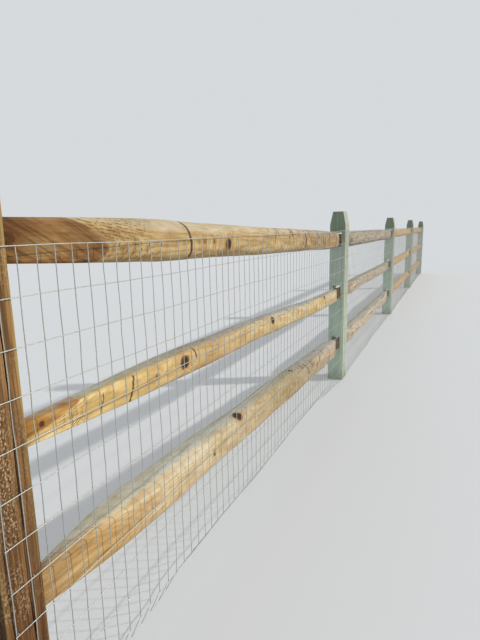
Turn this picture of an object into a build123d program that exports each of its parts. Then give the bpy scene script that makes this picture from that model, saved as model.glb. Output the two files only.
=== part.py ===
"""A post and rail fence of round pine rails, with welded wire mesh on one face.

Five dog-eared posts carry three rails a bay. Each rail is a log whose ends are
sawn down to tongues, and the tongues lie side by side in mortises through the
posts. The wire mesh hangs on the front, over the posts and the rails.

Millimetres. +X runs along the fence from the near end post, +Y to the back and
+Z up. The origin is the middle of the near end post's foot, at ground level.
"""
import os

from build123d import *

# Posts: width along the fence, depth across it, and height above the ground
BAY_COUNT = 4
BAY_LENGTH = 3250.0
POST_DEPTH = 127.0
LINE_POST_WIDTH = 140.0
LINE_POST_HEIGHT = 1385.0
END_POST_WIDTH = 105.0
END_POST_HEIGHT = 1460.0
DOG_EAR_SETBACK = 22.0
DOG_EAR_HEIGHT = 100.0

# Mortises: sills from the bottom one to the top one, above the ground
MORTISE_WIDTH = 67.0
MORTISE_HEIGHT = 110.0
LINE_SILLS = (260.0, 685.0, 1110.0)
END_SILLS = (400.0, 799.0, 1200.0)
BLIND_DEPTH = 75.0

# Tongues: each is half a mortise deep, so that two lie side by side in a line post
TONGUE_SIDE_CLEARANCE = 1.0
TONGUE_TIP_CLEARANCE = 5.0
TONGUE_OVERLAP = 100.0
SAW_RUN_OUT = 1.15

# Wire mesh: square bars for the wires, their spacing, and the roll's place on the posts
WIRE = 2.5
STAY_SPACING = 50.8
LINE_SPACING = 101.6
LINE_COUNT = 13
MESH_GROUND_GAP = 16.0
MESH_EDGE_INSET = 21.0
MESH_STUB = 4.0

# Rails: one row a bay, and in it the bottom, the middle and the top rail
LEVELS = ("bottom", "middle", "top")
LOG_DIAMETERS = (
    (146.0, 104.0, 134.0),
    (130.0, 112.0, 134.0),
    (112.0, 108.0, 118.0),
    (116.0, 110.0, 126.0),
)
SLAB_DEPTHS = (
    (116.0, 92.0, 114.0),
    (112.0, 104.0, 116.0),
    (104.0, 100.0, 108.0),
    (106.0, 100.0, 112.0),
)
NEAR_TONGUE_HEIGHTS = (
    (82.0, 54.0, 92.0),
    (94.0, 92.0, 98.0),
    (84.0, 90.0, 96.0),
    (88.0, 86.0, 96.0),
)
FAR_TONGUE_HEIGHTS = (
    (80.0, 78.0, 100.0),
    (82.0, 80.0, 98.0),
    (86.0, 78.0, 90.0),
    (84.0, 90.0, 94.0),
)
NEAR_TAPERS = (
    (460.0, 800.0, 520.0),
    (300.0, 260.0, 240.0),
    (420.0, 300.0, 260.0),
    (360.0, 480.0, 300.0),
)
FAR_TAPERS = (
    (260.0, 200.0, 200.0),
    (620.0, 560.0, 320.0),
    (300.0, 460.0, 380.0),
    (340.0, 240.0, 420.0),
)


def is_end(station):
    """The first and the last post close the fence."""
    return station in (0, BAY_COUNT)


def post_width(station):
    """Only the near end post is of the narrower stock."""
    return END_POST_WIDTH if station == 0 else LINE_POST_WIDTH


def post_sills(station):
    """Heights of a post's mortise sills, from the bottom one up."""
    return END_SILLS if station == 0 else LINE_SILLS


def block(x_low, x_high, y_low, y_high, z_low, z_high):
    """A square block between two corners."""
    size = (x_high - x_low, y_high - y_low, z_high - z_low)
    middle = ((x_low + x_high) / 2, (y_low + y_high) / 2, (z_low + z_high) / 2)
    return Pos(*middle) * Box(*size)


def post(station):
    """A post with its dog-eared top and its three mortises."""
    width = post_width(station)
    height = END_POST_HEIGHT if station == 0 else LINE_POST_HEIGHT
    side = POST_DEPTH / 2
    shoulder = height - DOG_EAR_HEIGHT
    face = Polygon(
        (-side, 0),
        (side, 0),
        (side, shoulder),
        (side - DOG_EAR_SETBACK, height),
        (DOG_EAR_SETBACK - side, height),
        (-side, shoulder),
        align=None,
    )
    body = extrude(Plane.YZ * face, width / 2, both=True)
    low = -width
    high = width
    if station == 0:
        low = width / 2 - BLIND_DEPTH
    if station == BAY_COUNT:
        high = BLIND_DEPTH - width / 2
    for sill in post_sills(station):
        top = sill + MORTISE_HEIGHT
        body -= block(low, high, -MORTISE_WIDTH / 2, MORTISE_WIDTH / 2, sill, top)
    return Pos(station * BAY_LENGTH, 0, 0) * body


def tongue(station, near_end):
    """Where a rail's tongue ends along the fence, and its two sides across it."""
    centre = station * BAY_LENGTH
    half = MORTISE_WIDTH / 2 - TONGUE_SIDE_CLEARANCE
    inward = 1 if near_end else -1
    tip = centre - inward * TONGUE_OVERLAP / 2
    if is_end(station):
        bottom_of_blind = centre + inward * (post_width(station) / 2 - BLIND_DEPTH)
        tip = bottom_of_blind + inward * TONGUE_TIP_CLEARANCE
    if near_end:
        return tip, -half, -TONGUE_SIDE_CLEARANCE / 2
    return tip, TONGUE_SIDE_CLEARANCE / 2, half


def saw_line(at_post, at_bark):
    """A saw cut from the tongue to the log's outside, and on past it."""
    past = SAW_RUN_OUT
    beyond = tuple(near + (out - near) * past for near, out in zip(at_post, at_bark))
    return at_post, beyond


def rail(near, row):
    """A log from one post to the next, slabbed on two sides and sawn to tongues.

    The log is cut by two outlines: one seen from above, which leaves the slabbed
    sides and the tongues' sides, and one seen from the front, which leaves the
    tongues' flat undersides.
    """
    far = near + 1
    near_sill = post_sills(near)[row]
    far_sill = post_sills(far)[row]
    near_high = NEAR_TONGUE_HEIGHTS[near][row]
    far_high = FAR_TONGUE_HEIGHTS[near][row]
    radius = LOG_DIAMETERS[near][row] / 2
    side = SLAB_DEPTHS[near][row] / 2
    near_tip, near_front, near_back = tongue(near, True)
    far_tip, far_front, far_back = tongue(far, False)
    near_face = near * BAY_LENGTH + post_width(near) / 2
    far_face = far * BAY_LENGTH - post_width(far) / 2

    start = Vector(near_face, 0, near_sill + near_high / 2)
    end = Vector(far_face, 0, far_sill + far_high / 2)
    along = (end - start).normalized()
    overrun = 4 * radius
    section = Plane(origin=start - along * overrun, x_dir=(0, 1, 0), z_dir=along)
    length = (end - start).length + 2 * overrun
    log = extrude(section * Circle(radius), length)

    near_full = start + along * NEAR_TAPERS[near][row]
    far_full = end - along * FAR_TAPERS[near][row]
    from_front = Polygon(
        (near_tip, near_sill),
        *saw_line((near_face, near_sill), (near_full.X, near_full.Z - radius)),
        *saw_line((far_face, far_sill), (far_full.X, far_full.Z - radius))[::-1],
        (far_tip, far_sill),
        (far_tip, far_sill + far_high),
        *saw_line((far_face, far_sill + far_high), (far_full.X, far_full.Z + radius)),
        *saw_line((near_face, near_sill + near_high), (near_full.X, near_full.Z + radius))[::-1],
        (near_tip, near_sill + near_high),
        align=None,
    )
    from_above = Polygon(
        (near_tip, near_front),
        (near_face, near_front),
        (near_full.X, -side),
        (far_full.X, -side),
        (far_face, far_front),
        (far_tip, far_front),
        (far_tip, far_back),
        (far_face, far_back),
        (far_full.X, side),
        (near_full.X, side),
        (near_face, near_back),
        (near_tip, near_back),
        align=None,
    )
    sides = extrude(from_above, END_POST_HEIGHT)
    heights = extrude(Plane.XZ * from_front, POST_DEPTH / 2, both=True)
    return (sides & heights) & log


def stay_places():
    """Where the upright wires stand, from the near end post to the far one."""
    first = MESH_EDGE_INSET - END_POST_WIDTH / 2
    last = BAY_COUNT * BAY_LENGTH + LINE_POST_WIDTH / 2 - MESH_EDGE_INSET
    count = int((last - first) // STAY_SPACING) + 1
    return [first + number * STAY_SPACING for number in range(count)]


def bay_of(x):
    """The bay that a place along the fence falls in."""
    bay = int(x // BAY_LENGTH) + 1
    return min(max(bay, 1), BAY_COUNT)


def line_wire(row, left, right):
    """One level wire, in front of the stays."""
    back = -POST_DEPTH / 2 - WIRE
    z = MESH_GROUND_GAP + row * LINE_SPACING
    return block(left, right, back - WIRE, back, z - WIRE / 2, z + WIRE / 2)


def stay_wire(x):
    """One upright wire, flat against the posts."""
    back = -POST_DEPTH / 2
    low = MESH_GROUND_GAP - WIRE / 2
    high = low + (LINE_COUNT - 1) * LINE_SPACING + WIRE
    return block(x - WIRE / 2, x + WIRE / 2, back - WIRE, back, low, high)


def mesh_panel(bay):
    """One bay's stays, welded to the lowest and the highest line wire."""
    places = stay_places()
    stays = [x for x in places if bay_of(x) == bay]
    left = stays[0] - (MESH_STUB if bay == 1 else STAY_SPACING / 2)
    right = stays[-1] + (MESH_STUB if bay == BAY_COUNT else STAY_SPACING / 2)
    lowest = line_wire(0, left, right)
    highest = line_wire(LINE_COUNT - 1, left, right)
    return lowest.fuse(highest, *[stay_wire(x) for x in stays])


def inner_line_wires():
    """The line wires between the lowest and the highest, over the whole fence."""
    places = stay_places()
    left = places[0] - MESH_STUB
    right = places[-1] + MESH_STUB
    return Compound([line_wire(row, left, right) for row in range(1, LINE_COUNT - 1)])


os.makedirs("parts", exist_ok=True)
for station in range(BAY_COUNT + 1):
    if station == 0:
        name = "near_end_post"
    elif station == BAY_COUNT:
        name = "far_end_post"
    else:
        name = f"line_post_{station}"
    export_step(post(station), f"parts/{name}.step")
for bay in range(1, BAY_COUNT + 1):
    for row, level in enumerate(LEVELS):
        export_step(rail(bay - 1, row), f"parts/bay_{bay}_{level}_rail.step")
    export_step(mesh_panel(bay), f"parts/bay_{bay}_mesh_stays.step")
export_step(inner_line_wires(), "parts/mesh_line_wires.step")
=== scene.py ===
"""Looks of a post and rail fence with welded wire mesh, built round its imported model.

Metres. +X runs along the fence from the near end post, +Y to the back and +Z up.
"""

import logging
import math
from dataclasses import dataclass, replace
from enum import Enum

import bpy
import numpy as np
from mathutils import Matrix, Vector


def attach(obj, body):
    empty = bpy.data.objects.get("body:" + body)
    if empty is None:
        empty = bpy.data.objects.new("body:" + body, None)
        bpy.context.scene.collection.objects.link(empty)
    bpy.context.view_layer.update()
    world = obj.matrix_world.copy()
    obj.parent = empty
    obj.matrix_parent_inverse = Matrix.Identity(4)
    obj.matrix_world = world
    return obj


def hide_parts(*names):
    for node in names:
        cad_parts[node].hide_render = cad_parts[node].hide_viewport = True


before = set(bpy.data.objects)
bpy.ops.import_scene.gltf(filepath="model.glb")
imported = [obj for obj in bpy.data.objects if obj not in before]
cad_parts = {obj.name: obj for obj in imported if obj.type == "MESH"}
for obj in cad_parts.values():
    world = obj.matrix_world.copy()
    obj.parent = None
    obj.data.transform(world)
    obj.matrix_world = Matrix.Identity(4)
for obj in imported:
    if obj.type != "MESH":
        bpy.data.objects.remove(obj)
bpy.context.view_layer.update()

log = logging.getLogger("fence")

Pair = tuple[float, float]
Triple = tuple[float, float, float]
Colour = Triple
Node = bpy.types.Node
Socket = bpy.types.NodeSocket
Piece = bpy.types.Object
Inputs = dict[str | int, object]
Faces = list[tuple[int, ...]]

# The fence's own sizes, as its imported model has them
BAY_COUNT = 4
BAY_LENGTH = 3.25
POST_DEPTH = 0.127
LINE_POST_WIDTH = 0.140
LINE_POST_HEIGHT = 1.385
END_POST_WIDTH = 0.105
END_POST_HEIGHT = 1.460
DOG_EAR_SETBACK = 0.022
DOG_EAR_HEIGHT = 0.100
MORTISE_WIDTH = 0.067
MORTISE_HEIGHT = 0.110
LINE_SILLS = (0.260, 0.685, 1.110)
END_SILLS = (0.400, 0.799, 1.200)
BLIND_DEPTH = 0.075
TONGUE_SIDE_CLEARANCE = 0.001
TONGUE_TIP_CLEARANCE = 0.005
TONGUE_OVERLAP = 0.100
SAW_RUN_OUT = 1.15
WIRE = 0.0025
STAY_SPACING = 0.0508
LINE_SPACING = 0.1016
LINE_COUNT = 13
MESH_GROUND_GAP = 0.016
MESH_EDGE_INSET = 0.021
MESH_STUB = 0.004


class Level(Enum):
    """The three rails of a bay; the value is the row of their mortises."""

    BOTTOM = 0
    MIDDLE = 1
    TOP = 2


def post_width(station: int) -> float:
    """Width of a post along the fence; only the near end post is narrower."""
    return END_POST_WIDTH if station == 0 else LINE_POST_WIDTH


def post_sills(station: int) -> tuple[float, ...]:
    """Heights of a post's mortise sills, from the bottom one up."""
    return END_SILLS if station == 0 else LINE_SILLS


def ease(value: np.ndarray | float, low: float, high: float) -> np.ndarray:
    """A smooth step.

    Args:
        value: Where the step is read.
        low: Where it leaves 0.
        high: Where it reaches 1.

    Returns:
        The step's height, from 0 to 1.
    """
    t = np.clip((np.asarray(value) - low) / (high - low), 0.0, 1.0)
    return t * t * (3.0 - 2.0 * t)


# Node trees


class Signal:
    """A value in a node tree, whose sums are written as Python expressions."""

    def __init__(self, graph: "Graph", socket: Socket) -> None:
        """Wraps an output socket of the graph."""
        self.graph = graph
        self.socket = socket

    def __add__(self, other: "Signal | float") -> "Signal":
        """self + other."""
        return self.graph.maths("ADD", self, other)

    __radd__ = __add__

    def __sub__(self, other: "Signal | float") -> "Signal":
        """self - other."""
        return self.graph.maths("SUBTRACT", self, other)

    def __rsub__(self, other: float) -> "Signal":
        """other - self."""
        return self.graph.maths("SUBTRACT", other, self)

    def __mul__(self, other: "Signal | float") -> "Signal":
        """self * other."""
        return self.graph.maths("MULTIPLY", self, other)

    __rmul__ = __mul__

    def __truediv__(self, other: "Signal | float") -> "Signal":
        """self / other."""
        return self.graph.maths("DIVIDE", self, other)

    def __rtruediv__(self, other: float) -> "Signal":
        """other / self."""
        return self.graph.maths("DIVIDE", other, self)

    def __abs__(self) -> "Signal":
        """Its size without its sign."""
        return self.graph.maths("ABSOLUTE", self)

    def fraction(self) -> "Signal":
        """What is left over whole numbers."""
        return self.graph.maths("FRACT", self)

    def most(self, other: "Signal | float") -> "Signal":
        """The greater of the two."""
        return self.graph.maths("MAXIMUM", self, other)

    def step(self, low: float, high: float) -> "Signal":
        """A smooth step.

        Args:
            low: Where it leaves 0.
            high: Where it reaches 1.

        Returns:
            The step, from 0 to 1.
        """
        inputs = {"Value": self, "From Min": low, "From Max": high}
        made = self.graph.node("ShaderNodeMapRange", inputs, interpolation_type="SMOOTHSTEP")
        return Signal(self.graph, made.outputs[0])

    def band(self, centre: float, half: float) -> "Signal":
        """1 at centre, down to 0 at half either side of it."""
        return 1.0 - abs(self - centre).step(0.0, half)


@dataclass(frozen=True)
class Layer:
    """A shade that is laid where a pattern rises from low to high, or falls, and its strength."""

    low: float
    high: float
    share: float
    shade: Colour
    falling: bool = False


class Graph:
    """A node tree while it is drawn, for a material or for a piece's shape."""

    def __init__(self, tree: bpy.types.NodeTree) -> None:
        """Draws in this tree."""
        self.tree = tree

    def node(self, kind: str, inputs: Inputs | None = None, **settings: object) -> Node:
        """Any node.

        Args:
            kind: Its type.
            inputs: Values or links of its inputs, by name or place.
            settings: Its own settings, among them a ramp's stops, set first.

        Returns:
            The node.
        """
        made = self.tree.nodes.new(kind)
        for name, value in settings.items():
            if name == "stops":
                self._stops(made, value)
            else:
                setattr(made, name, value)
        for key, value in (inputs or {}).items():
            self.feed(made.inputs[key], value)
        return made

    def _stops(self, made: Node, stops: list[tuple[float, Colour]]) -> None:
        """Gives a colour ramp its stops.

        Args:
            made: The ramp's node.
            stops: Each stop's place and colour.
        """
        elements = made.color_ramp.elements
        while len(elements) < len(stops):
            elements.new(0.5)
        for element, (place, colour) in zip(elements, stops):
            element.position = place
            element.color = (*colour, 1.0)

    def feed(self, socket: Socket, value: object) -> None:
        """Links a socket, or sets its value.

        Args:
            socket: The input.
            value: A Signal, a node for its first output, an output, a number or a tuple.
        """
        if isinstance(value, Signal):
            value = value.socket
        if isinstance(value, Node):
            value = value.outputs[0]
        if isinstance(value, Socket):
            self.tree.links.new(value, socket)
        elif socket.type == "RGBA":
            socket.default_value = (*value, 1.0)
        else:
            socket.default_value = value

    def maths(self, operation: str, *terms: "Signal | float") -> Signal:
        """One Math node."""
        made = self.node("ShaderNodeMath", dict(enumerate(terms)), operation=operation)
        return Signal(self, made.outputs[0])

    def vector(self, operation: str, *terms: object) -> Socket:
        """One Vector Math node, with its vector result."""
        made = self.node("ShaderNodeVectorMath", dict(enumerate(terms)), operation=operation)
        return made.outputs[0]

    def length(self, vector: object) -> Signal:
        """Length of a vector."""
        made = self.node("ShaderNodeVectorMath", {0: vector}, operation="LENGTH")
        return Signal(self, made.outputs["Value"])

    def compose(self, x: object, y: object, z: object) -> Socket:
        """A vector from three values."""
        return self.node("ShaderNodeCombineXYZ", {0: x, 1: y, 2: z}).outputs[0]

    def parts(self, vector: object) -> tuple[Signal, Signal, Signal]:
        """The three values of a vector."""
        made = self.node("ShaderNodeSeparateXYZ", {0: vector})
        return tuple(Signal(self, socket) for socket in made.outputs)

    def mix(self, factor: object, first: object, second: object) -> Socket:
        """A colour between two."""
        made = self.node("ShaderNodeMix", {0: factor, 6: first, 7: second}, data_type="RGBA")
        return made.outputs[2]

    def tint(self, factor: object, colour: object, shade: Colour) -> Socket:
        """A colour multiplied by a shade, as far as the factor says."""
        inputs = {0: factor, 6: colour, 7: shade}
        return self.node("ShaderNodeMix", inputs, data_type="RGBA", blend_type="MULTIPLY").outputs[2]

    def lay(self, colour: object, pattern: Signal, layer: Layer, share: float = 1.0) -> Socket:
        """A colour with a layer's shade over it.

        Args:
            colour: The colour under it.
            pattern: What the layer follows.
            layer: Where it shows, how strongly, and its shade.
            share: How much of that strength is left.

        Returns:
            The colour.
        """
        cover = pattern.step(layer.low, layer.high)
        if layer.falling:
            cover = 1.0 - cover
        return self.tint(cover * (layer.share * share), colour, layer.shade)

    def noise(self, vector: object, scale: float = 1.0, detail: float = 2.0, rough: float = 0.5) -> Signal:
        """Cloudy noise about 0.5.

        Args:
            vector: Where it is read.
            scale: How many clouds to the unit.
            detail: How many finer layers it has.
            rough: How strong those are.

        Returns:
            Its value.
        """
        inputs = {"Vector": vector, "Scale": scale, "Detail": detail, "Roughness": rough}
        return Signal(self, self.node("ShaderNodeTexNoise", inputs).outputs[0])


# Finishes


# The rails' pine: figure and stains, then what age and the saw left, and painted shade on the undersides
# and in the mortises
DARK_YEARS = Layer(0.50, 0.64, 1.0, (0.52, 0.42, 0.33))
PALE_YEARS = Layer(0.36, 0.49, 1.0, (1.50, 1.56, 1.64), falling=True)
FIBRE_LINES = Layer(0.38, 0.70, 0.45, (0.74, 0.66, 0.56))
SPECKLES = Layer(0.60, 0.74, 0.30, (0.70, 0.58, 0.46))
DARK_BLOTCHES = Layer(0.54, 0.68, 0.60, (0.76, 0.66, 0.54))
PALE_BLOTCHES = Layer(0.34, 0.44, 0.60, (1.12, 1.14, 1.18), falling=True)
WARM_PATCHES = Layer(0.50, 0.60, 0.55, (0.84, 0.77, 0.66))
COOL_PATCHES = Layer(0.38, 0.50, 0.55, (1.10, 1.15, 1.26), falling=True)
UNDERSIDE_SHADE = Layer(0.25, 0.90, 0.45, (0.62, 0.55, 0.50))
SCARS = Layer(0.25, 0.95, 0.95, (0.17, 0.12, 0.08))
END_GRAIN_AND_SHADE = Layer(0.80, 0.95, 0.90, (0.34, 0.27, 0.22))
CUT_EDGE = (0.66, 0.50, 0.40)
BARK_REMAINS = (0.36, 0.26, 0.21)
FLECK_SHADE = (0.12, 0.08, 0.06)
KNOT_HALO = (0.78, 0.50, 0.30)
KNOT_CORE = (0.042, 0.020, 0.010)
KNOT_RIM = (0.13, 0.08, 0.05)

# The posts' wood, and painted shade in its cracks
POST_STREAKS = Layer(0.47, 0.62, 1.0, (0.44, 0.34, 0.24))
POST_FIBRES = Layer(0.42, 0.70, 1.0, (0.66, 0.58, 0.50))
POST_HAIRS = Layer(0.56, 0.66, 1.0, (0.42, 0.34, 0.26))
CLEFT_SHADE = Layer(0.25, 0.75, 0.90, (0.12, 0.08, 0.06))
GRAIN_LINES = (0.32, 0.23, 0.15)
FRONT_GRAIN = (0.78, 0.76, 0.66)
DARK_MOTTLE = (0.45, 0.38, 0.30)
SOIL = (0.42, 0.34, 0.26)


@dataclass(frozen=True)
class Knot:
    """A branch knot.

    x is its place along the fence, turn its place round the log in degrees (180 on
    the front, 90 on top), and size its half-width. dark says how black it is.
    """

    x: float
    turn: float
    size: float
    dark: float


@dataclass(frozen=True)
class Seam:
    """A dark scar across a log: its place at the log's top and foot, its turns round it, its size."""

    x_top: float
    x_low: float
    first_turn: float
    last_turn: float
    depth: float = 0.0022
    width: float = 0.0030
    stain: float = 0.0060


@dataclass(frozen=True)
class Flecks:
    """Rows of dark specks that the peeling knives left past the saw cut.

    first and last bound them along the log, and low under them. slant and spacing
    are those of the rows, fineness the specks' own and strength how dark they are.
    """

    first: float
    last: float
    low: float
    slant: float
    spacing: float
    fineness: Triple = (105.0, 60.0, 90.0)
    strength: float = 0.72


@dataclass(frozen=True)
class Pine:
    """The colours of one stick of pine.

    heart is the wood that the near saw cut laid bare, sap the rest, gold the warmer
    clouds in both, late the dark line of a year, skin the log's round outside and top
    its weathered upper side, which starts top_from behind its sawn front. cut is the
    saw cut's rounded far end: its place along the log, its height off the axis, how
    sharply it curves back and how soft its edge is. pith is where the pith lies off the
    axis. chatter is how strongly the saw marked it, and bare how little its near saw cut
    has weathered on top. fan is how steeply the years fall across that cut and how
    strongly they show there. hatch is where dark remains of bark start along the log,
    how strong they are, and how many come to the metre along it and round it. tones are
    shades along the log, each with its place.
    """

    heart: Colour
    sap: Colour
    late: Colour
    skin: Colour
    top: Colour
    gold: Colour
    cut: tuple[float, float, float, float] = (0.18, 0.0, 40.0, 0.012)
    contrast: float = 0.45
    top_from: float = 0.022
    pith: Pair = (0.0, 0.0)
    chatter: float = 0.05
    bare: float = 0.0
    fan: Pair = (0.0, 0.35)
    hatch: tuple[float, float, float, float] = (1.2, 0.60, 30.0, 14.0)
    tones: tuple[tuple[float, Colour], ...] = ()
    flecks: Flecks | None = None


class Grain:
    """The figure of one stick's wood, read along its own pith."""

    # How far the pith strays from the stick's axis, and how many times a metre, sideways and up
    STRAY = 0.030
    STRAY_WAVES = (1.1, 0.9)
    # How far the years leave true rings, and where in a year its dark line comes and goes
    WARP = 0.006
    DARKENS = (0.35, 0.88)
    ENDS = (0.90, 0.99)

    def __init__(self, graph: Graph, point: object, seed: float, pith: Pair = (0.0, 0.0)) -> None:
        """Reads the figure.

        Args:
            graph: The material's graph.
            point: The place on the stick, whose first part runs along it.
            seed: What makes this stick's figure its own.
            pith: Where the pith lies off the stick's axis.
        """
        self.graph = graph
        self.point = point
        self.seed = seed
        self.along, self.across, self.up = graph.parts(point)
        run = graph.compose(self.along + seed, seed * 1.7, 0.0)
        sideways = (graph.noise(run, self.STRAY_WAVES[0], 1.0) - 0.5) * self.STRAY
        rise = graph.compose(self.along + seed * 2.3, 0.0, seed)
        upwards = (graph.noise(rise, self.STRAY_WAVES[1], 1.0) - 0.5) * self.STRAY
        flat = graph.compose(0.0, self.across + sideways - pith[0], self.up + upwards - pith[1])
        self.radius = graph.length(flat)

    def noise(self, along: float, across: float, detail: float, rough: float = 0.5) -> Signal:
        """Noise that is drawn out along the grain.

        Args:
            along: How many clouds to the metre along the stick.
            across: How many across it.
            detail: How many finer layers it has.
            rough: How strong those are.

        Returns:
            Its value.
        """
        scaled = self.graph.vector("MULTIPLY", self.point, (along, across, across))
        moved = self.graph.vector("ADD", scaled, (self.seed, self.seed * 0.7, self.seed * 0.3))
        return self.graph.noise(moved, 1.0, detail, rough)

    def push(self, amount: Signal) -> None:
        """Moves the year rings outwards."""
        self.radius = self.radius + amount

    def late_wood(self, ring: float) -> Signal:
        """The dark lines of the years.

        Args:
            ring: How far apart they are, in metres.

        Returns:
            How dark they are there, up to 1.
        """
        warp = self.noise(1.4, 16.0, 2.0) - 0.5
        years = ((self.radius + warp * self.WARP) / ring).fraction()
        return years.step(*self.DARKENS) * (1.0 - years.step(*self.ENDS))

    def fibres(self) -> Signal:
        """Fine streaks along the grain."""
        return self.noise(5.0, 330.0, 3.0, 0.6)


# Specular level of bare wood
SPECULAR = 0.22


def new_material(name: str) -> tuple[bpy.types.Material, Graph, Node]:
    """A material with a Principled shader.

    Args:
        name: The material's name.

    Returns:
        The material, its graph and the shader.
    """
    material = bpy.data.materials.new(name)
    material.use_nodes = True
    graph = Graph(material.node_tree)
    shader = material.node_tree.nodes["Principled BSDF"]
    shader.inputs["Specular IOR Level"].default_value = SPECULAR
    return material, graph, shader


def read_attribute(graph: Graph, name: str) -> Signal:
    """A value that the piece's own mesh carries."""
    return Signal(graph, graph.node("ShaderNodeAttribute", attribute_name=name).outputs["Fac"])


def object_point(graph: Graph) -> Socket:
    """The place on the piece, in metres."""
    return graph.node("ShaderNodeTexCoord").outputs["Object"]


def face_way(graph: Graph) -> tuple[Signal, Signal, Signal]:
    """The way a face points."""
    return graph.parts(graph.node("ShaderNodeNewGeometry").outputs["Normal"])


def finish_wood(
    graph: Graph,
    shader: Node,
    colour: Socket,
    roughness: Signal,
    relief: Signal,
    depth: float,
) -> None:
    """Feeds a wood's shader.

    Args:
        graph: The material's graph.
        shader: Its Principled shader.
        colour: The wood's colour.
        roughness: Its roughness.
        relief: Its fine relief, about 0 to 1.
        depth: How deep that is, in metres.
    """
    bump = graph.node("ShaderNodeBump", {"Height": relief, "Distance": depth, "Strength": 1.0})
    for name, value in (("Base Color", colour), ("Roughness", roughness), ("Normal", bump)):
        graph.feed(shader.inputs[name], value)


# Shapes

# The sharpest fold that is still shaded smooth
SMOOTH_FOLD = math.radians(38.0)
# How many coarse steps it takes to leave a finely divided mark
EASING_STEPS = 8.0


class Relief:
    """A smooth uneven surface, made of a few waves with places drawn once."""

    # How fast the height of a wave falls with its length, and the gain on their sum
    FALL = 0.6
    GAIN = 1.6

    def __init__(self, seed: int, waves: int, shortest: float, longest: float) -> None:
        """Draws the waves.

        Args:
            seed: Start of the draw.
            waves: How many there are.
            shortest: The shortest wave, in metres.
            longest: The longest wave, in metres.
        """
        draw = np.random.default_rng(seed)
        self.lengths = np.geomspace(shortest, longest, waves)
        self.turns = draw.integers(0, 4, waves)
        self.phases = draw.uniform(0.0, 2.0 * math.pi, waves)
        self.sizes = (self.lengths / longest) ** self.FALL
        self.sizes /= self.sizes.sum()

    def at(self, x: np.ndarray, angle: np.ndarray | float = 0.0) -> np.ndarray:
        """Height of the surface.

        Args:
            x: Places along it.
            angle: Turns round it in radians.

        Returns:
            The heights, from about -1 to 1.
        """
        total = np.zeros(np.broadcast(x, angle).shape)
        for length, turns, phase, size in zip(self.lengths, self.turns, self.phases, self.sizes):
            total += size * np.sin(2.0 * math.pi * x / length + turns * angle + phase)
        return total * self.GAIN


def mesh_object(name: str, points: np.ndarray, faces: Faces, material: bpy.types.Material) -> Piece:
    """A smooth shaded object from its points and faces.

    Args:
        name: The piece's name.
        points: Its points, n by 3.
        faces: Its faces, as point numbers.
        material: Its finish.

    Returns:
        The object, at the origin.
    """
    mesh = bpy.data.meshes.new(name)
    mesh.from_pydata(points.tolist(), [], faces)
    mesh.materials.append(material)
    mesh.shade_smooth()
    mesh.set_sharp_from_angle(angle=SMOOTH_FOLD)
    mesh.validate()
    made = bpy.data.objects.new(name, mesh)
    bpy.context.scene.collection.objects.link(made)
    return made


def store(made: Piece, name: str, values: np.ndarray, at_ends: float = 0.0) -> None:
    """Stores one value for each point of a loft, for its material.

    Args:
        made: The piece's object.
        name: The attribute's name.
        values: The values on the rings.
        at_ends: The value at the middle of each end.
    """
    every = np.append(values.ravel(), (at_ends, at_ends)).astype(np.float32)
    made.data.attributes.new(name, "FLOAT", "POINT").data.foreach_set("value", every)


def dress(made: Piece, slot: str, node: str | None = None) -> None:
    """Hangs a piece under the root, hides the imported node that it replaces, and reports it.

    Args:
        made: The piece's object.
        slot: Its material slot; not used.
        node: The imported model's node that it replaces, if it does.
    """
    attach(made, "root")
    if node:
        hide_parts(node)
    log.info("%s: %d faces", made.name, len(made.data.polygons))


def loft(rings: np.ndarray) -> tuple[np.ndarray, Faces]:
    """A closed skin over rings, with a point in the middle of each end.

    Args:
        rings: Ring by ring, points that run the same way round, r by n by 3.

    Returns:
        Its points and its faces. The two middle points come last.
    """
    count, around, _ = rings.shape
    ends = np.array([rings[0].mean(axis=0), rings[-1].mean(axis=0)])
    points = np.vstack([rings.reshape(-1, 3), ends])
    faces = []
    for ring in range(count - 1):
        for place in range(around):
            after = (place + 1) % around
            low = ring * around
            high = low + around
            faces.append((low + place, low + after, high + after, high + place))
    first = count * around
    last_ring = (count - 1) * around
    for place in range(around):
        after = (place + 1) % around
        faces.append((first, after, place))
        faces.append((first + 1, last_ring + place, last_ring + after))
    return points, faces


def spaced(low: float, high: float, coarse: float, fine: float, marks: list[Pair]) -> np.ndarray:
    """Places from low to high, closer together round marks.

    Args:
        low: The first place.
        high: The last place.
        coarse: The step away from marks.
        fine: The step at marks.
        marks: Each mark's place and half-width.

    Returns:
        The places in order.
    """
    places = [low]
    while places[-1] < high:
        here = places[-1]
        far = 1.0
        for mark, half in marks:
            far = min(far, float(ease(abs(here - mark), half, half + EASING_STEPS * coarse)))
        places.append(here + fine + (coarse - fine) * far)
    scale = (high - low) / (places[-1] - low)
    return low + (np.array(places) - low) * scale


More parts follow.
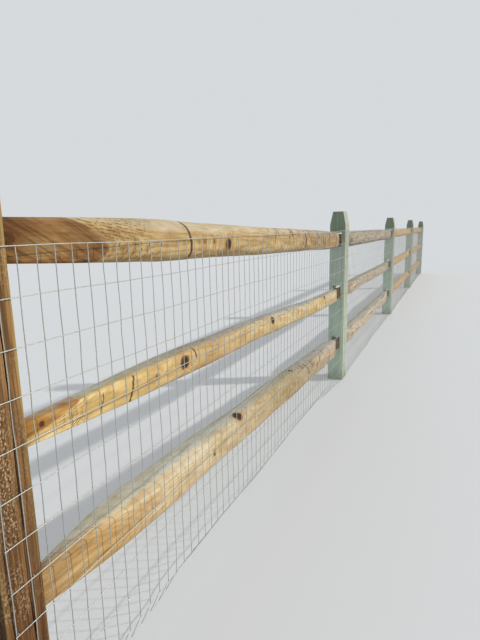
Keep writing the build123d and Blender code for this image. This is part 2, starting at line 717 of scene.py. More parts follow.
@dataclass
class Rail:
    """A pine log between two posts, slabbed on two sides and sawn to a tongue at each end.

    step is the length of its mesh's faces, and around how many there are round it.
    """

    bay: int
    level: Level
    diameter: float
    slab: float
    tongues: Pair
    tapers: Pair
    pine: Pine
    knots: tuple[Knot, ...]
    seams: tuple[Seam, ...]
    step: float
    around: int

    # How square the corners between the round outside and the saw cuts are
    SHARPNESS = 13.0
    # How far from a post the log starts to be uneven, and is so fully
    UNEVEN = (0.04, 0.35)
    # How uneven it is: its sawn flats, its rise and fall, its sway and its lumps
    FLATS = 0.0016
    RISE = 0.0040
    SWAY = 0.0030
    LUMPS = 0.0034
    # A knot's bulge: its height and its reach along the log and round it, in knot sizes
    BULGE = 0.24
    BULGE_REACH = (2.6, 2.2)
    BULGE_ON_CUT = 0.12
    # How far a scar wavers, each with its degrees, and over how many degrees it fades out
    WAVER = ((0.0022, 13.0), (0.0009, 4.1))
    FADE = 8.0
    # The mesh's shortest face, the room that a scar gets, and the eased arris of each end
    FINE_STEP = 0.0022
    SCAR_ROOM = 0.022
    ARRIS = 0.002
    END_SCALE = 0.965
    # How far the middle of an end counts as lying behind the sawn front
    END_SETBACK = 0.03
    # Distances between the years, between the arcs at the cut's end, and between saw strokes
    RING = 0.0042
    ARC_PITCH = 0.045
    TEETH_PITCH = 0.0075
    # Depth of the fine relief
    RELIEF = 0.0011
    # Patterns: clouds to the metre along the grain and across it, finer layers, their strength
    CLOUDS = (1.6, 9.0, 3.0, 0.55)
    SPECKLE = (30.0, 90.0, 3.0, 0.65)
    WARMTH = (5.0, 26.0, 2.0, 0.55)
    BLOTCHES = (16.0, 70.0, 3.0, 0.65)
    PATCHES = (9.0, 30.0, 3.0, 0.60)

    def __post_init__(self) -> None:
        """Works out the saw lines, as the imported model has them."""
        near = self.bay - 1
        far = self.bay
        row = self.level.value
        self.name = f"bay_{self.bay}_{self.level.name.lower()}_rail"
        self.seed = near * 3 + row + 1
        sills = (post_sills(near)[row], post_sills(far)[row])
        tip_near, front_near, back_near = self._tongue(near, True)
        tip_far, front_far, back_far = self._tongue(far, False)
        self.faces = (near * BAY_LENGTH + post_width(near) / 2, far * BAY_LENGTH - post_width(far) / 2)
        self.tips = (tip_near, tip_far)
        self.start = Vector((self.faces[0], 0.0, sills[0] + self.tongues[0] / 2))
        end = Vector((self.faces[1], 0.0, sills[1] + self.tongues[1] / 2))
        along = (end - self.start).normalized()
        self.slope = math.atan2(along.z, along.x)
        full = (self.start + along * self.tapers[0], end - along * self.tapers[1])
        half = self.slab / 2
        self.plan_x = (tip_near, self.faces[0], full[0].x, full[1].x, self.faces[1], tip_far)
        self.plan_front = (front_near, front_near, -half, -half, front_far, front_far)
        self.plan_back = (back_near, back_near, half, half, back_far, back_far)
        radius = self.diameter / 2
        tops = (sills[0] + self.tongues[0], sills[1] + self.tongues[1])
        out = self._run_out(self.faces, [place.x for place in full])
        lows = self._run_out(sills, [place.z - radius for place in full])
        highs = self._run_out(tops, [place.z + radius for place in full])
        self.rise_x = (tip_near, self.faces[0], *out, self.faces[1], tip_far)
        self.rise_low = (sills[0], sills[0], *lows, sills[1], sills[1])
        self.rise_high = (tops[0], tops[0], *highs, tops[1], tops[1])
        self.lumps = Relief(self.seed, 7, 0.16, 2.6)
        self.sway = Relief(self.seed + 40, 4, 0.9, 4.0)
        self.lift = Relief(self.seed + 80, 4, 0.7, 3.0)
        self.planing = Relief(self.seed + 120, 5, 0.12, 1.4)

    @staticmethod
    def _run_out(at_post: tuple[float, ...], at_bark: list[float]) -> list[float]:
        """Where the saw lines end, from where they leave the posts and meet the round outside."""
        return [near + (far - near) * SAW_RUN_OUT for near, far in zip(at_post, at_bark)]

    def _tongue(self, station: int, near_end: bool) -> Triple:
        """The shape of a tongue.

        Args:
            station: The post that it enters.
            near_end: Whether it is at the rail's near end.

        Returns:
            Where it ends along the fence, and its front and back across it.
        """
        centre = station * BAY_LENGTH
        half = MORTISE_WIDTH / 2 - TONGUE_SIDE_CLEARANCE
        inward = 1 if near_end else -1
        tip = centre - inward * TONGUE_OVERLAP / 2
        if station in (0, BAY_COUNT):
            bottom = centre + inward * (post_width(station) / 2 - BLIND_DEPTH)
            tip = bottom + inward * TONGUE_TIP_CLEARANCE
        if near_end:
            return tip, -half, -TONGUE_SIDE_CLEARANCE / 2
        return tip, TONGUE_SIDE_CLEARANCE / 2, half

    def axis_height(self, x: np.ndarray | float) -> np.ndarray | float:
        """Height of the pith."""
        return self.start.z + (x - self.start.x) * math.tan(self.slope)

    def _bulges(self, x: np.ndarray, angle: np.ndarray) -> np.ndarray:
        """How far the knots swell the log.

        Args:
            x: Places along the fence.
            angle: Turns round the log in radians.

        Returns:
            How much further out its surface stands there, in metres.
        """
        swell = np.zeros(np.broadcast(x, angle).shape)
        along, round_it = self.BULGE_REACH
        for knot in self.knots:
            gap = (x - knot.x) ** 2 / (along * knot.size) ** 2
            turn = np.angle(np.exp(1j * (angle - math.radians(knot.turn))))
            gap = gap + (turn * self.diameter / 2) ** 2 / (round_it * knot.size) ** 2
            swell = swell + self.BULGE * knot.size * np.exp(-gap)
        return swell

    def section(self, x: np.ndarray, angle: np.ndarray) -> tuple[np.ndarray, ...]:
        """The log's outline at places along it.

        Args:
            x: Places along the fence.
            angle: Turns round the log in radians, 0 at the back and a quarter turn on top.

        Returns:
            y, z, and how far the round outside, not a saw cut, bounds it there.
        """
        near, far = self.faces
        start, full = self.UNEVEN
        free = ease(x, near + start, near + full)
        free = free * (1.0 - ease(x, far - full, far - start))
        front = np.interp(x, self.plan_x, self.plan_front) + self.planing.at(x) * self.FLATS * free
        back = np.interp(x, self.plan_x, self.plan_back) + self.planing.at(x + 1.0) * self.FLATS * free
        axis = self.axis_height(x) + self.lift.at(x) * self.RISE * free
        low = np.interp(x, self.rise_x, self.rise_low)
        high = np.interp(x, self.rise_x, self.rise_high)
        swell = self._bulges(x, angle)
        radius = self.diameter / 2 + self.lumps.at(x, angle) * self.LUMPS * free + swell
        middle_y = (front + back) / 2
        middle_z = (np.maximum(low, axis - radius) + np.minimum(high, axis + radius)) / 2
        run_y = np.cos(angle)
        run_z = np.sin(angle)
        off_y = self.sway.at(x) * self.SWAY * free - middle_y
        off_z = axis - middle_z
        along = run_y * off_y + run_z * off_z
        bark = along + np.sqrt(along**2 - off_y**2 - off_z**2 + radius**2)
        weights = bark ** -self.SHARPNESS
        total = weights
        for run, limit, sign in (
            (run_y, front - middle_y, -1),
            (run_y, back - middle_y, 1),
            (run_z, low - middle_z, -1),
            (run_z, high - middle_z, 1),
        ):
            toward = run * sign > 1e-3
            reach = np.where(toward, limit / np.where(toward, run, 1.0), 10.0)
            total = total + reach ** -self.SHARPNESS
        reach = total ** (-1.0 / self.SHARPNESS) + self.BULGE_ON_CUT * swell
        return middle_y + reach * run_y, middle_z + reach * run_z, weights / total

    def spot(self, x: float, turn: float) -> Triple:
        """A point of the surface, from its place along the log and round it."""
        y, z, _ = self.section(np.array([x]), np.array([math.radians(turn)]))
        return x, float(y[0]), float(z[0])

    def seam_depth(self, x: np.ndarray, angle: np.ndarray) -> tuple[np.ndarray, np.ndarray]:
        """Where the scars are.

        Args:
            x: Places along the fence.
            angle: Turns round the log in radians.

        Returns:
            How strong their stain is there, up to 1, and how deep they are in metres.
        """
        stain = np.zeros(x.shape)
        depth = np.zeros(x.shape)
        degrees = np.degrees(angle) % 360.0
        down = (degrees - 90.0) / 180.0
        (slow, slow_turn), (quick, quick_turn) = self.WAVER
        for number, seam in enumerate(self.seams):
            waver = slow * np.sin(degrees / slow_turn + number) + quick * np.sin(degrees / quick_turn)
            place = seam.x_top + (seam.x_low - seam.x_top) * down + waver
            first, last = seam.first_turn, seam.last_turn
            inside = ease(degrees, first - self.FADE, first + self.FADE)
            inside = inside * (1.0 - ease(degrees, last - self.FADE, last + self.FADE))
            stain = np.maximum(stain, np.exp(-(((x - place) / seam.stain) ** 2)) * inside)
            depth = np.maximum(depth, np.exp(-(((x - place) / seam.width) ** 2)) * inside * seam.depth)
        return stain, depth

    def build(self) -> None:
        """Makes the rail's mesh and dresses it."""
        marks = []
        for seam in self.seams:
            slant = abs(seam.x_top - seam.x_low)
            marks.append(((seam.x_top + seam.x_low) / 2, self.SCAR_ROOM + slant / 2))
        places = spaced(self.tips[0], self.tips[1], self.step, self.FINE_STEP, marks)
        arrises = [self.tips[0] + self.ARRIS, self.tips[1] - self.ARRIS]
        places = np.unique(np.concatenate([places, arrises, self.faces]))
        angles = np.linspace(0.0, 2.0 * math.pi, self.around, endpoint=False)
        x, angle = np.meshgrid(places, angles, indexing="ij")
        y, z, bark = self.section(x, angle)
        stain, depth = self.seam_depth(x, angle)
        middle_y = y.mean(axis=1, keepdims=True)
        middle_z = z.mean(axis=1, keepdims=True)
        reach = np.hypot(y - middle_y, z - middle_z)
        trim = np.full(x.shape, 1.0)
        trim[0] = trim[-1] = self.END_SCALE
        scale = (reach - depth) / reach * trim
        y = middle_y + (y - middle_y) * scale
        z = middle_z + (z - middle_z) * scale
        points, faces = loft(np.stack([x, y, z], axis=-1))
        made = mesh_object(f"{self.name}_log", points, faces, self.material())
        store(made, "bark", bark)
        store(made, "setback", y - np.interp(x, self.plan_x, self.plan_front), self.END_SETBACK)
        store(made, "scar", stain)
        dress(made, "rail_timber", self.name)

    def material(self) -> bpy.types.Material:
        """The rail's own pine.

        Returns:
            The material.
        """
        material, graph, shader = new_material(f"{self.name}_pine")
        pine = self.pine
        place = object_point(graph)
        inputs = {"Vector": place, "Location": tuple(self.start), "Rotation": (0.0, -self.slope, 0.0)}
        turned = graph.node("ShaderNodeMapping", inputs, vector_type="TEXTURE")
        grain = Grain(graph, turned, self.seed * 3.1, pine.pith)
        cores, rims, halos = self._knot_marks(graph, place, grain)
        late = grain.late_wood(self.RING)
        fibres = grain.fibres()
        facing = face_way(graph)
        cloud = grain.noise(*self.CLOUDS)
        speckle = grain.noise(*self.SPECKLE)
        warm = grain.noise(*self.WARMTH)
        blotch = grain.noise(*self.BLOTCHES)
        patch = grain.noise(*self.PATCHES)

        # The wood that the saw laid bare, the wood past it, and the arcs at the cut's end
        nose, height, curve, soft = pine.cut
        lifted = grain.up - height
        beyond = grain.along - nose + lifted * lifted * curve + (cloud - 0.5) * 0.05
        sawn = 1.0 - beyond.step(-soft / 3.0, soft)
        sap = graph.mix(warm.step(0.46, 0.66) * 0.7, pine.sap, pine.gold)
        sap = graph.mix(late * pine.contrast, sap, pine.late)
        inner = graph.mix(warm.step(0.44, 0.60) * 0.50, pine.heart, pine.gold)
        inner = graph.tint(beyond.band(-0.035, 0.045) * (0.006 / soft), inner, CUT_EDGE)
        inner = graph.mix(late * pine.contrast * 0.5, inner, pine.late)
        slant, shown = pine.fan
        fall = grain.up + grain.along * slant
        fanned = graph.compose(grain.along * 5.0, grain.across * 20.0, fall * 85.0)
        fan = graph.noise(fanned, 1.0, 3.0, 0.6)
        for layer in (DARK_YEARS, PALE_YEARS):
            inner = graph.lay(inner, fan, layer, shown)
        colour = graph.mix(sawn, sap, inner)
        arcs = ((beyond + (warm - 0.5) * 0.06) / self.ARC_PITCH).fraction()
        arcs = arcs.band(0.5, 0.42) * beyond.band(-0.03, 0.26)
        colour = graph.mix(arcs * 0.55, colour, pine.late)

        # The round outside, the weathered top, stains, remains of bark and painted shade underneath
        skin = graph.mix(cloud.step(0.35, 0.65), pine.skin, sap)
        skin = graph.mix(late * (pine.contrast * 0.6), skin, pine.late)
        bark = read_attribute(graph, "bark")
        colour = graph.mix(bark.step(0.35, 0.75) * (1.0 - sawn) * 0.75, colour, skin)
        behind = read_attribute(graph, "setback") + (cloud - 0.5) * 0.030
        worn = behind.step(pine.top_from - 0.007, pine.top_from + 0.007) * facing[2].step(0.05, 0.30)
        worn = worn * (0.90 - fibres.step(0.45, 0.65) * 0.25) * (1.0 - sawn * pine.bare)
        colour = graph.mix(worn, colour, pine.top)
        for pattern, layer in (
            (fibres, FIBRE_LINES),
            (speckle, SPECKLES),
            (blotch, DARK_BLOTCHES),
            (blotch, PALE_BLOTCHES),
            (patch, WARM_PATCHES),
            (patch, COOL_PATCHES),
        ):
            colour = graph.lay(colour, pattern, layer)
        first, strength, lengthwise, roundwise = pine.hatch
        peeled = grain.noise(lengthwise, roundwise, 4.0, 0.68).step(0.53, 0.63)
        remains = peeled * grain.along.step(first, first + 0.8) * strength
        colour = graph.tint(remains, colour, BARK_REMAINS)
        # Painted shade: faces that point downwards are darkened
        colour = graph.lay(colour, 0.0 - facing[2], UNDERSIDE_SHADE)
        if pine.flecks:
            colour = graph.tint(self._flecks(graph, grain, beyond), colour, FLECK_SHADE)
        if pine.tones:
            stops = [(along / BAY_LENGTH, shade) for along, shade in pine.tones]
            reach = (grain.along + (warm - 0.5) * 0.06) / BAY_LENGTH
            ramp = graph.node("ShaderNodeValToRGB", {"Fac": reach}, stops=stops)
            colour = graph.tint(1.0, colour, ramp)

        # Knots, scars, sawn ends with painted shade in the mortises, and the saw's strokes
        colour = graph.tint(halos * 0.55, colour, KNOT_HALO)
        colour = graph.mix(cores, colour, KNOT_CORE)
        colour = graph.tint(rims * 0.90, colour, KNOT_RIM)
        colour = graph.lay(colour, read_attribute(graph, "scar") + (speckle - 0.5) * 0.5, SCARS)
        # Faces that point along the fence: darker end grain, and painted shade inside the mortises
        colour = graph.lay(colour, abs(facing[0]), END_GRAIN_AND_SHADE)
        strokes = (grain.along + grain.up * 0.45 + (cloud - 0.5) * 0.01) / self.TEETH_PITCH
        chatter = abs(strokes.fraction() - 0.5) * 2.0
        chatter = chatter * (1.0 - grain.along.step(0.30, 0.90)) * pine.chatter
        relief = fibres * 0.5 + late * 0.35 + speckle * 0.25 + chatter - cores * 0.5
        finish_wood(graph, shader, colour, 0.62 + cloud * 0.25, relief, self.RELIEF)
        return material

    def _flecks(self, graph: Graph, grain: Grain, beyond: Signal) -> Signal:
        """Draws the rows of dark specks.

        Args:
            graph: The material's graph.
            grain: The rail's grain.
            beyond: How far past the saw cut's curved end the place lies.

        Returns:
            Where they show.
        """
        marks = self.pine.flecks
        there = grain.along.step(marks.first - 0.01, marks.first + 0.02) * beyond.step(0.0, 0.012)
        there = there * (1.0 - grain.along.step(marks.last - 0.06, marks.last))
        rows = ((grain.along + grain.up * marks.slant) / marks.spacing).fraction().band(0.5, 0.30)
        arcs = (beyond / 0.030).fraction().band(0.5, 0.22)
        arcs = arcs * beyond.step(0.01, 0.03) * (1.0 - beyond.step(0.20, 0.28))
        upper = grain.up.step(marks.low - 0.006, marks.low + 0.006)
        specks = graph.noise(graph.vector("MULTIPLY", grain.point, marks.fineness), 1.0, 1.0)
        found = there * rows * upper + arcs * (1.0 - upper)
        return found * specks.step(0.48, 0.54) * marks.strength

    def _knot_marks(self, graph: Graph, place: object, grain: Grain) -> list[Signal]:
        """Draws the knots, and bends the grain round them.

        Args:
            graph: The material's graph.
            place: The place on the rail.
            grain: The rail's grain, whose rings are pushed.

        Returns:
            The knots' cores, their dark rims and the stained wood round them.
        """
        ragged = (graph.noise(place, 60.0, 3.0, 0.6) - 0.5) * 0.7
        found = []
        for knot in self.knots:
            size = knot.size
            offset = graph.vector("SUBTRACT", place, self.spot(knot.x, knot.turn))
            scaled = graph.vector("MULTIPLY", offset, (0.85 / size, 1.0 / size, 1.0 / size))
            gap = graph.length(scaled) + ragged
            grain.push((1.0 - gap.step(0.2, 4.0)) * (size * 0.75))
            core = (1.0 - gap.step(0.80, 0.98)) * (0.38 + 0.60 * knot.dark)
            rim = gap.band(0.98, 0.30).most(gap.band(0.42, 0.26) * 0.7) * (0.30 + 0.65 * knot.dark)
            halo = (1.0 - gap.step(0.9, 2.6)) * 0.8
            marks = [core, rim, halo]
            found = [old.most(new) for old, new in zip(found, marks)] if found else marks
        return found


@dataclass(frozen=True)
class Check:
    """A drying crack up a post: how far round the post it is, where it runs and how deep it is."""

    round: float
    low: float
    high: float
    depth: float


@dataclass(frozen=True)
class PostTimber:
    """The colours of a post.

    Its wood, its late wood, its stain, the pale bloom of dried mud and lichen, the paler
    colour of its front face, which is painted light, its front arrises, pale as worn wood
    and with a painted highlight, and how far they reach at its top and at its foot, and its
    shaded near side. crown and foot are shades near its top and its foot, mottle how fine
    its bloom is, and contrast and fibre how strong its grain shows.
    """

    wood: Colour
    late: Colour
    stain: Colour
    bloom: Colour
    bloom_share: float
    front: Colour
    front_share: float
    arris: Colour
    arris_share: float
    arris_reach: Pair
    shade_side: Colour
    crown: Colour
    foot: Colour
    mottle: Pair
    contrast: float
    fibre: float


@dataclass
class Post:
    """A dog-eared post with its three mortises.

    step and across are the lengths of its mesh's faces, up the post and round it.
    """

    station: int
    timber: PostTimber
    checks: tuple[Check, ...]
    step: float
    across: float

    # How square its section is
    SHARPNESS = 24.0
    # Extra places round it at each arris and at each crack, and the room that a crack gets
    AT_ARRIS = (-0.0035, -0.0018, 0.0, 0.0018, 0.0035)
    AT_CHECK = (-0.0045, -0.0022, -0.0009, 0.0, 0.0009, 0.0022, 0.0045)
    CHECK_ROOM = 0.005
    # The mesh's shortest face up it, the room that the dog-ears' foot gets, and the eased top
    FINE_STEP = 0.004
    SHOULDER_ROOM = 0.012
    TOP_EASE = 0.0018
    TOP_INSET = 0.004
    # How uneven the wood is, and how much of that the saw left
    BUMPS = 0.0008
    SAW_MARKS = 0.00035
    # A crack's half-width, how far it wanders, how wide it bends the wood, and its deepest
    CHECK_HALF = 0.0012
    CHECK_WANDER = 0.0035
    CHECK_BEND = 0.012
    DEEPEST = 0.004
    # Over how much of its height a crack opens and closes
    CHECK_OPENS = 0.12
    CHECK_CLOSES = 0.18
    # Distance between the years, saw lines to the metre, and depth of the fine relief
    RING = 0.0052
    SAW_LINES = (14.0, 14.0, 420.0)
    RELIEF = 0.0013
    # Patterns: clouds to the metre along the grain and across it, finer layers, their strength
    CLOUDS = (2.2, 10.0, 3.0, 0.55)
    STREAKS = (2.2, 120.0, 2.0, 0.60)
    HAIRS = (1.2, 190.0, 2.0, 0.60)
    CONTOURS = (0.9, 38.0, 2.0, 0.60)
    # A mortise's faces, by the numbers of its corners
    BOX_FACES = ((0, 1, 3, 2), (4, 6, 7, 5), (0, 4, 5, 1), (2, 3, 7, 6), (0, 2, 6, 4), (1, 5, 7, 3))

    def __post_init__(self) -> None:
        """Works out the post's sizes."""
        self.width = post_width(self.station)
        self.height = END_POST_HEIGHT if self.station == 0 else LINE_POST_HEIGHT
        self.centre = self.station * BAY_LENGTH
        self.seed = 11 + self.station
        ends = {0: "near_end_post", BAY_COUNT: "far_end_post"}
        self.name = ends.get(self.station, f"line_post_{self.station}")

    def _outline(self) -> tuple[np.ndarray, np.ndarray, np.ndarray]:
        """The post's section.

        Returns:
            Its points in order round it, the way out at each, and how far round each is, up to 1.
        """
        half_x = self.width / 2
        half_y = POST_DEPTH / 2
        starts = np.cumsum((0.0, 2 * half_x, 2 * half_y, 2 * half_x, 2 * half_y))
        total = starts[-1]
        places = set(np.arange(0.0, total, self.across).round(5).tolist())
        for start in starts[:4]:
            places |= {round(start + nudge, 5) % total for nudge in self.AT_ARRIS}
        for check in self.checks:
            mark = check.round * total
            places = {place for place in places if abs(place - mark) > self.CHECK_ROOM}
            places |= {round(mark + nudge, 5) for nudge in self.AT_CHECK}
        around = np.array(sorted(places))
        x = np.interp(around, starts, (-half_x, half_x, half_x, -half_x, -half_x))
        y = np.interp(around, starts, (-half_y, -half_y, half_y, half_y, -half_y))
        square = np.abs(x / half_x) ** self.SHARPNESS + np.abs(y / half_y) ** self.SHARPNESS
        pull = np.minimum(square ** (-1.0 / self.SHARPNESS), 1.0)
        side = np.clip(np.searchsorted(starts, around, side="right") - 1, 0, 3)
        ways = np.array([(0.0, -1.0), (1.0, 0.0), (0.0, 1.0), (-1.0, 0.0)])
        return np.stack([x * pull, y * pull], axis=-1), ways[side], around / total

    def _cracks(self, z: np.ndarray, share: np.ndarray) -> tuple[np.ndarray, np.ndarray]:
        """The drying cracks.

        Args:
            z: Heights.
            share: Places round the post, from 0 to 1.

        Returns:
            How deep they are there, and how far they bend the wood along the post's sides.
        """
        cleft = np.zeros_like(z)
        wander = np.zeros_like(z)
        perimeter = 2 * (self.width + POST_DEPTH)
        for number, check in enumerate(self.checks):
            path = Relief(self.seed + 60 + number, 5, 0.10, 0.9).at(z)
            opens = ease(z, check.low, check.low + self.CHECK_OPENS)
            ends = opens * (1.0 - ease(z, check.high - self.CHECK_CLOSES, check.high))
            near = (share - check.round) * perimeter
            open_share = np.exp(-((near / self.CHECK_HALF) ** 2)) * ends * (0.75 + 0.25 * path)
            cleft = np.maximum(cleft, open_share * check.depth)
            wander += path * self.CHECK_WANDER * np.exp(-((near / self.CHECK_BEND) ** 2))
        return cleft, wander

    def build(self) -> None:
        """Makes the post's mesh, cuts its mortises and dresses it."""
        outline, out, share = self._outline()
        shoulder = self.height - DOG_EAR_HEIGHT
        marks = [(shoulder, self.SHOULDER_ROOM)]
        heights = spaced(0.0, self.height - self.TOP_EASE, self.step, self.FINE_STEP, marks)
        heights = np.append(heights, self.height)
        z, s = np.meshgrid(heights, share, indexing="ij")
        bumps = Relief(self.seed, 8, 0.05, 1.6).at(z, s * 2.0 * math.pi) * self.BUMPS
        saw = Relief(self.seed + 30, 6, 0.012, 0.22).at(z + s * 0.07, s * 8.0 * math.pi)
        cleft, wander = self._cracks(z, s)
        depth = bumps + saw * self.SAW_MARKS - self.BUMPS - cleft
        along = np.stack([-out[:, 1], out[:, 0]], axis=-1)
        x = outline[None, :, 0] + out[None, :, 0] * depth + along[None, :, 0] * wander
        y = outline[None, :, 1] + out[None, :, 1] * depth + along[None, :, 1] * wander
        half = POST_DEPTH / 2
        x = np.clip(x, -self.width / 2, self.width / 2)
        y = np.clip(y, -half, half)
        setback = DOG_EAR_SETBACK * np.clip((z - shoulder) / DOG_EAR_HEIGHT, 0.0, 1.0)
        y = y * (half - setback) / half
        x[-1] *= 1.0 - self.TOP_INSET / self.width
        y[-1] *= 1.0 - self.TOP_INSET / (2 * half - 2 * DOG_EAR_SETBACK)
        points, faces = loft(np.stack([x + self.centre, y, z], axis=-1))
        made = mesh_object(f"{self.name}_timber", points, faces, self.material())
        store(made, "cleft", cleft / self.DEEPEST)
        self._mortise(made)
        dress(made, "near_end_post_timber" if self.station == 0 else "line_post_timber", self.name)

    def _mortise(self, made: Piece) -> None:
        """Cuts the three mortises through the post, or into it at the fence's ends.

        Args:
            made: The post's object.
        """
        low = -self.width
        high = self.width
        if self.station == 0:
            low = self.width / 2 - BLIND_DEPTH
        if self.station == BAY_COUNT:
            high = BLIND_DEPTH - self.width / 2
        points = []
        faces = []
        for sill in post_sills(self.station):
            first = len(points)
            for x in (low, high):
                for y in (-MORTISE_WIDTH / 2, MORTISE_WIDTH / 2):
                    for z in (sill, sill + MORTISE_HEIGHT):
                        points.append((self.centre + x, y, z))
            for face in self.BOX_FACES:
                faces.append(tuple(first + corner for corner in face))
        cutter = mesh_object(f"{self.name}_cut", np.array(points), faces, made.data.materials[0])
        modifier = made.modifiers.new("mortises", "BOOLEAN")
        modifier.object = cutter
        modifier.operation = "DIFFERENCE"
        modifier.solver = "EXACT"
        replace_mesh(made)
        bpy.data.objects.remove(cutter)
        made.data.set_sharp_from_angle(angle=SMOOTH_FOLD)

    def material(self) -> bpy.types.Material:
        """The post's own wood.

        Returns:
            The material.
        """
        material, graph, shader = new_material(f"{self.name}_wood")
        timber = self.timber
        place = object_point(graph)
        x, y, z = graph.parts(place)
        drift = 0.020 + 0.006 * self.station
        point = graph.compose(z, x - (self.centre + drift) + z * 0.006, y - 0.024 + z * 0.011)
        grain = Grain(graph, point, self.seed * 2.9)
        late = grain.late_wood(self.RING)
        fibres = grain.fibres()
        facing = face_way(graph)
        cloud = grain.noise(*self.CLOUDS)
        stray = cloud - 0.5
        streak = grain.noise(*self.STREAKS)
        spots = grain.noise(*timber.mottle, 3.0, 0.65)
        hairs = grain.noise(*self.HAIRS)

        # The wood and its figure
        colour = graph.mix(late * timber.contrast, timber.wood, timber.late)
        colour = graph.mix(cloud.step(0.42, 0.66) * 0.7, colour, timber.stain)
        colour = graph.lay(colour, streak, POST_STREAKS, timber.fibre)
        colour = graph.lay(colour, fibres, POST_FIBRES, timber.fibre)
        lines = (grain.noise(*self.CONTOURS) * 6.0).fraction().band(0.5, 0.26)
        colour = graph.tint(lines * timber.fibre, colour, GRAIN_LINES)
        colour = graph.lay(colour, hairs, POST_HAIRS, timber.fibre)

        # Painted light on the front face, and the arrises, pale as worn wood and with a painted highlight
        ahead = (0.0 - facing[1]).step(0.4, 0.9)
        painted_light_front = graph.tint(late * 0.5 + streak.step(0.45, 0.70) * 0.5, timber.front, FRONT_GRAIN)
        colour = graph.mix(ahead * timber.front_share, colour, painted_light_front)
        sideways = x - self.centre
        inset = self.width / 2 - abs(sideways + stray * 0.02)
        inset = inset.most(y + POST_DEPTH / 2 + stray * 0.008)
        high, low = timber.arris_reach
        reach = low + z.step(0.0, 1.25) * (high - low)
        worn = 1.0 - (inset / reach).step(0.55, 1.0)
        # The arrises' pale colour: worn wood, and a painted highlight along the edges
        colour = graph.mix(worn * (1.0 - lines * 0.5) * timber.arris_share, colour, timber.arris)

        # Bloom, the shaded side, the top, the foot and painted shade in the cracks
        left = 1.0 - (sideways + stray * 0.03).step(-0.004, 0.014)
        patches = graph.noise(place, 7.0, 2.0).step(0.40, 0.58)
        bloom = (left * 0.75 + 0.25) * patches * timber.bloom_share
        colour = graph.mix(spots.step(0.53, 0.60) * bloom, colour, timber.bloom)
        colour = graph.tint((1.0 - spots.step(0.36, 0.44)) * bloom, colour, DARK_MOTTLE)
        away = (0.0 - facing[0]).step(0.4, 0.9)
        colour = graph.tint(away, colour, timber.shade_side)
        crown = (z + stray * 0.06).step(self.height - 0.28, self.height - 0.18) * (1.0 - ahead * 0.8)
        colour = graph.tint(crown, colour, timber.crown)
        colour = graph.tint(1.0 - z.step(0.35, 1.15), colour, timber.foot)
        colour = graph.tint((1.0 - (z + stray * 0.10).step(0.015, 0.13)) * 0.55, colour, SOIL)
        # Painted shade in the cracks, darker where they are deeper
        colour = graph.lay(colour, read_attribute(graph, "cleft"), CLEFT_SHADE)
        sawn = graph.noise(graph.vector("MULTIPLY", place, self.SAW_LINES), 1.0, 1.0)
        relief = fibres * 0.55 + late * 0.4 + sawn * 0.25 + spots * 0.3
        finish_wood(graph, shader, colour, 0.68 + spots * 0.2, relief, self.RELIEF)
        return material


def replace_mesh(made: Piece) -> None:
    """Turns what an object's modifiers give into its plain mesh, and removes them.

    Args:
        made: The object.
    """
    graph = bpy.context.evaluated_depsgraph_get()
    mesh = bpy.data.meshes.new_from_object(made.evaluated_get(graph))
    made.modifiers.clear()
    old = made.data
    made.data = mesh
    bpy.data.meshes.remove(old)
    mesh.name = made.name


@dataclass(frozen=True)
class Zinc:
    """Galvanised wire, weathered to a pale dull grey."""

    bright: Colour = (0.60, 0.61, 0.57)
    dull: Colour = (0.33, 0.35, 0.31)
    weld: Colour = (0.62, 0.60, 0.56)
    metallic: float = 0.55
    specular: float = 0.50

    def material(self) -> bpy.types.Material:
        """The wire's finish.

        Returns:
            The material.
        """
        material, graph, shader = new_material("galvanised_zinc")
        place = object_point(graph)
        spangle = graph.noise(place, 420.0, 2.0, 0.6)
        patina = graph.noise(place, 9.0, 2.0)
        colour = graph.mix(spangle.step(0.35, 0.65) * 0.6 + patina * 0.25, self.bright, self.dull)
        colour = graph.tint(read_attribute(graph, "weld") * 0.6, colour, self.weld)
        graph.feed(shader.inputs["Base Color"], colour)
        shader.inputs["Metallic"].default_value = self.metallic
        shader.inputs["Specular IOR Level"].default_value = self.specular
        graph.feed(shader.inputs["Roughness"], 0.36 + spangle * 0.22)
        return material


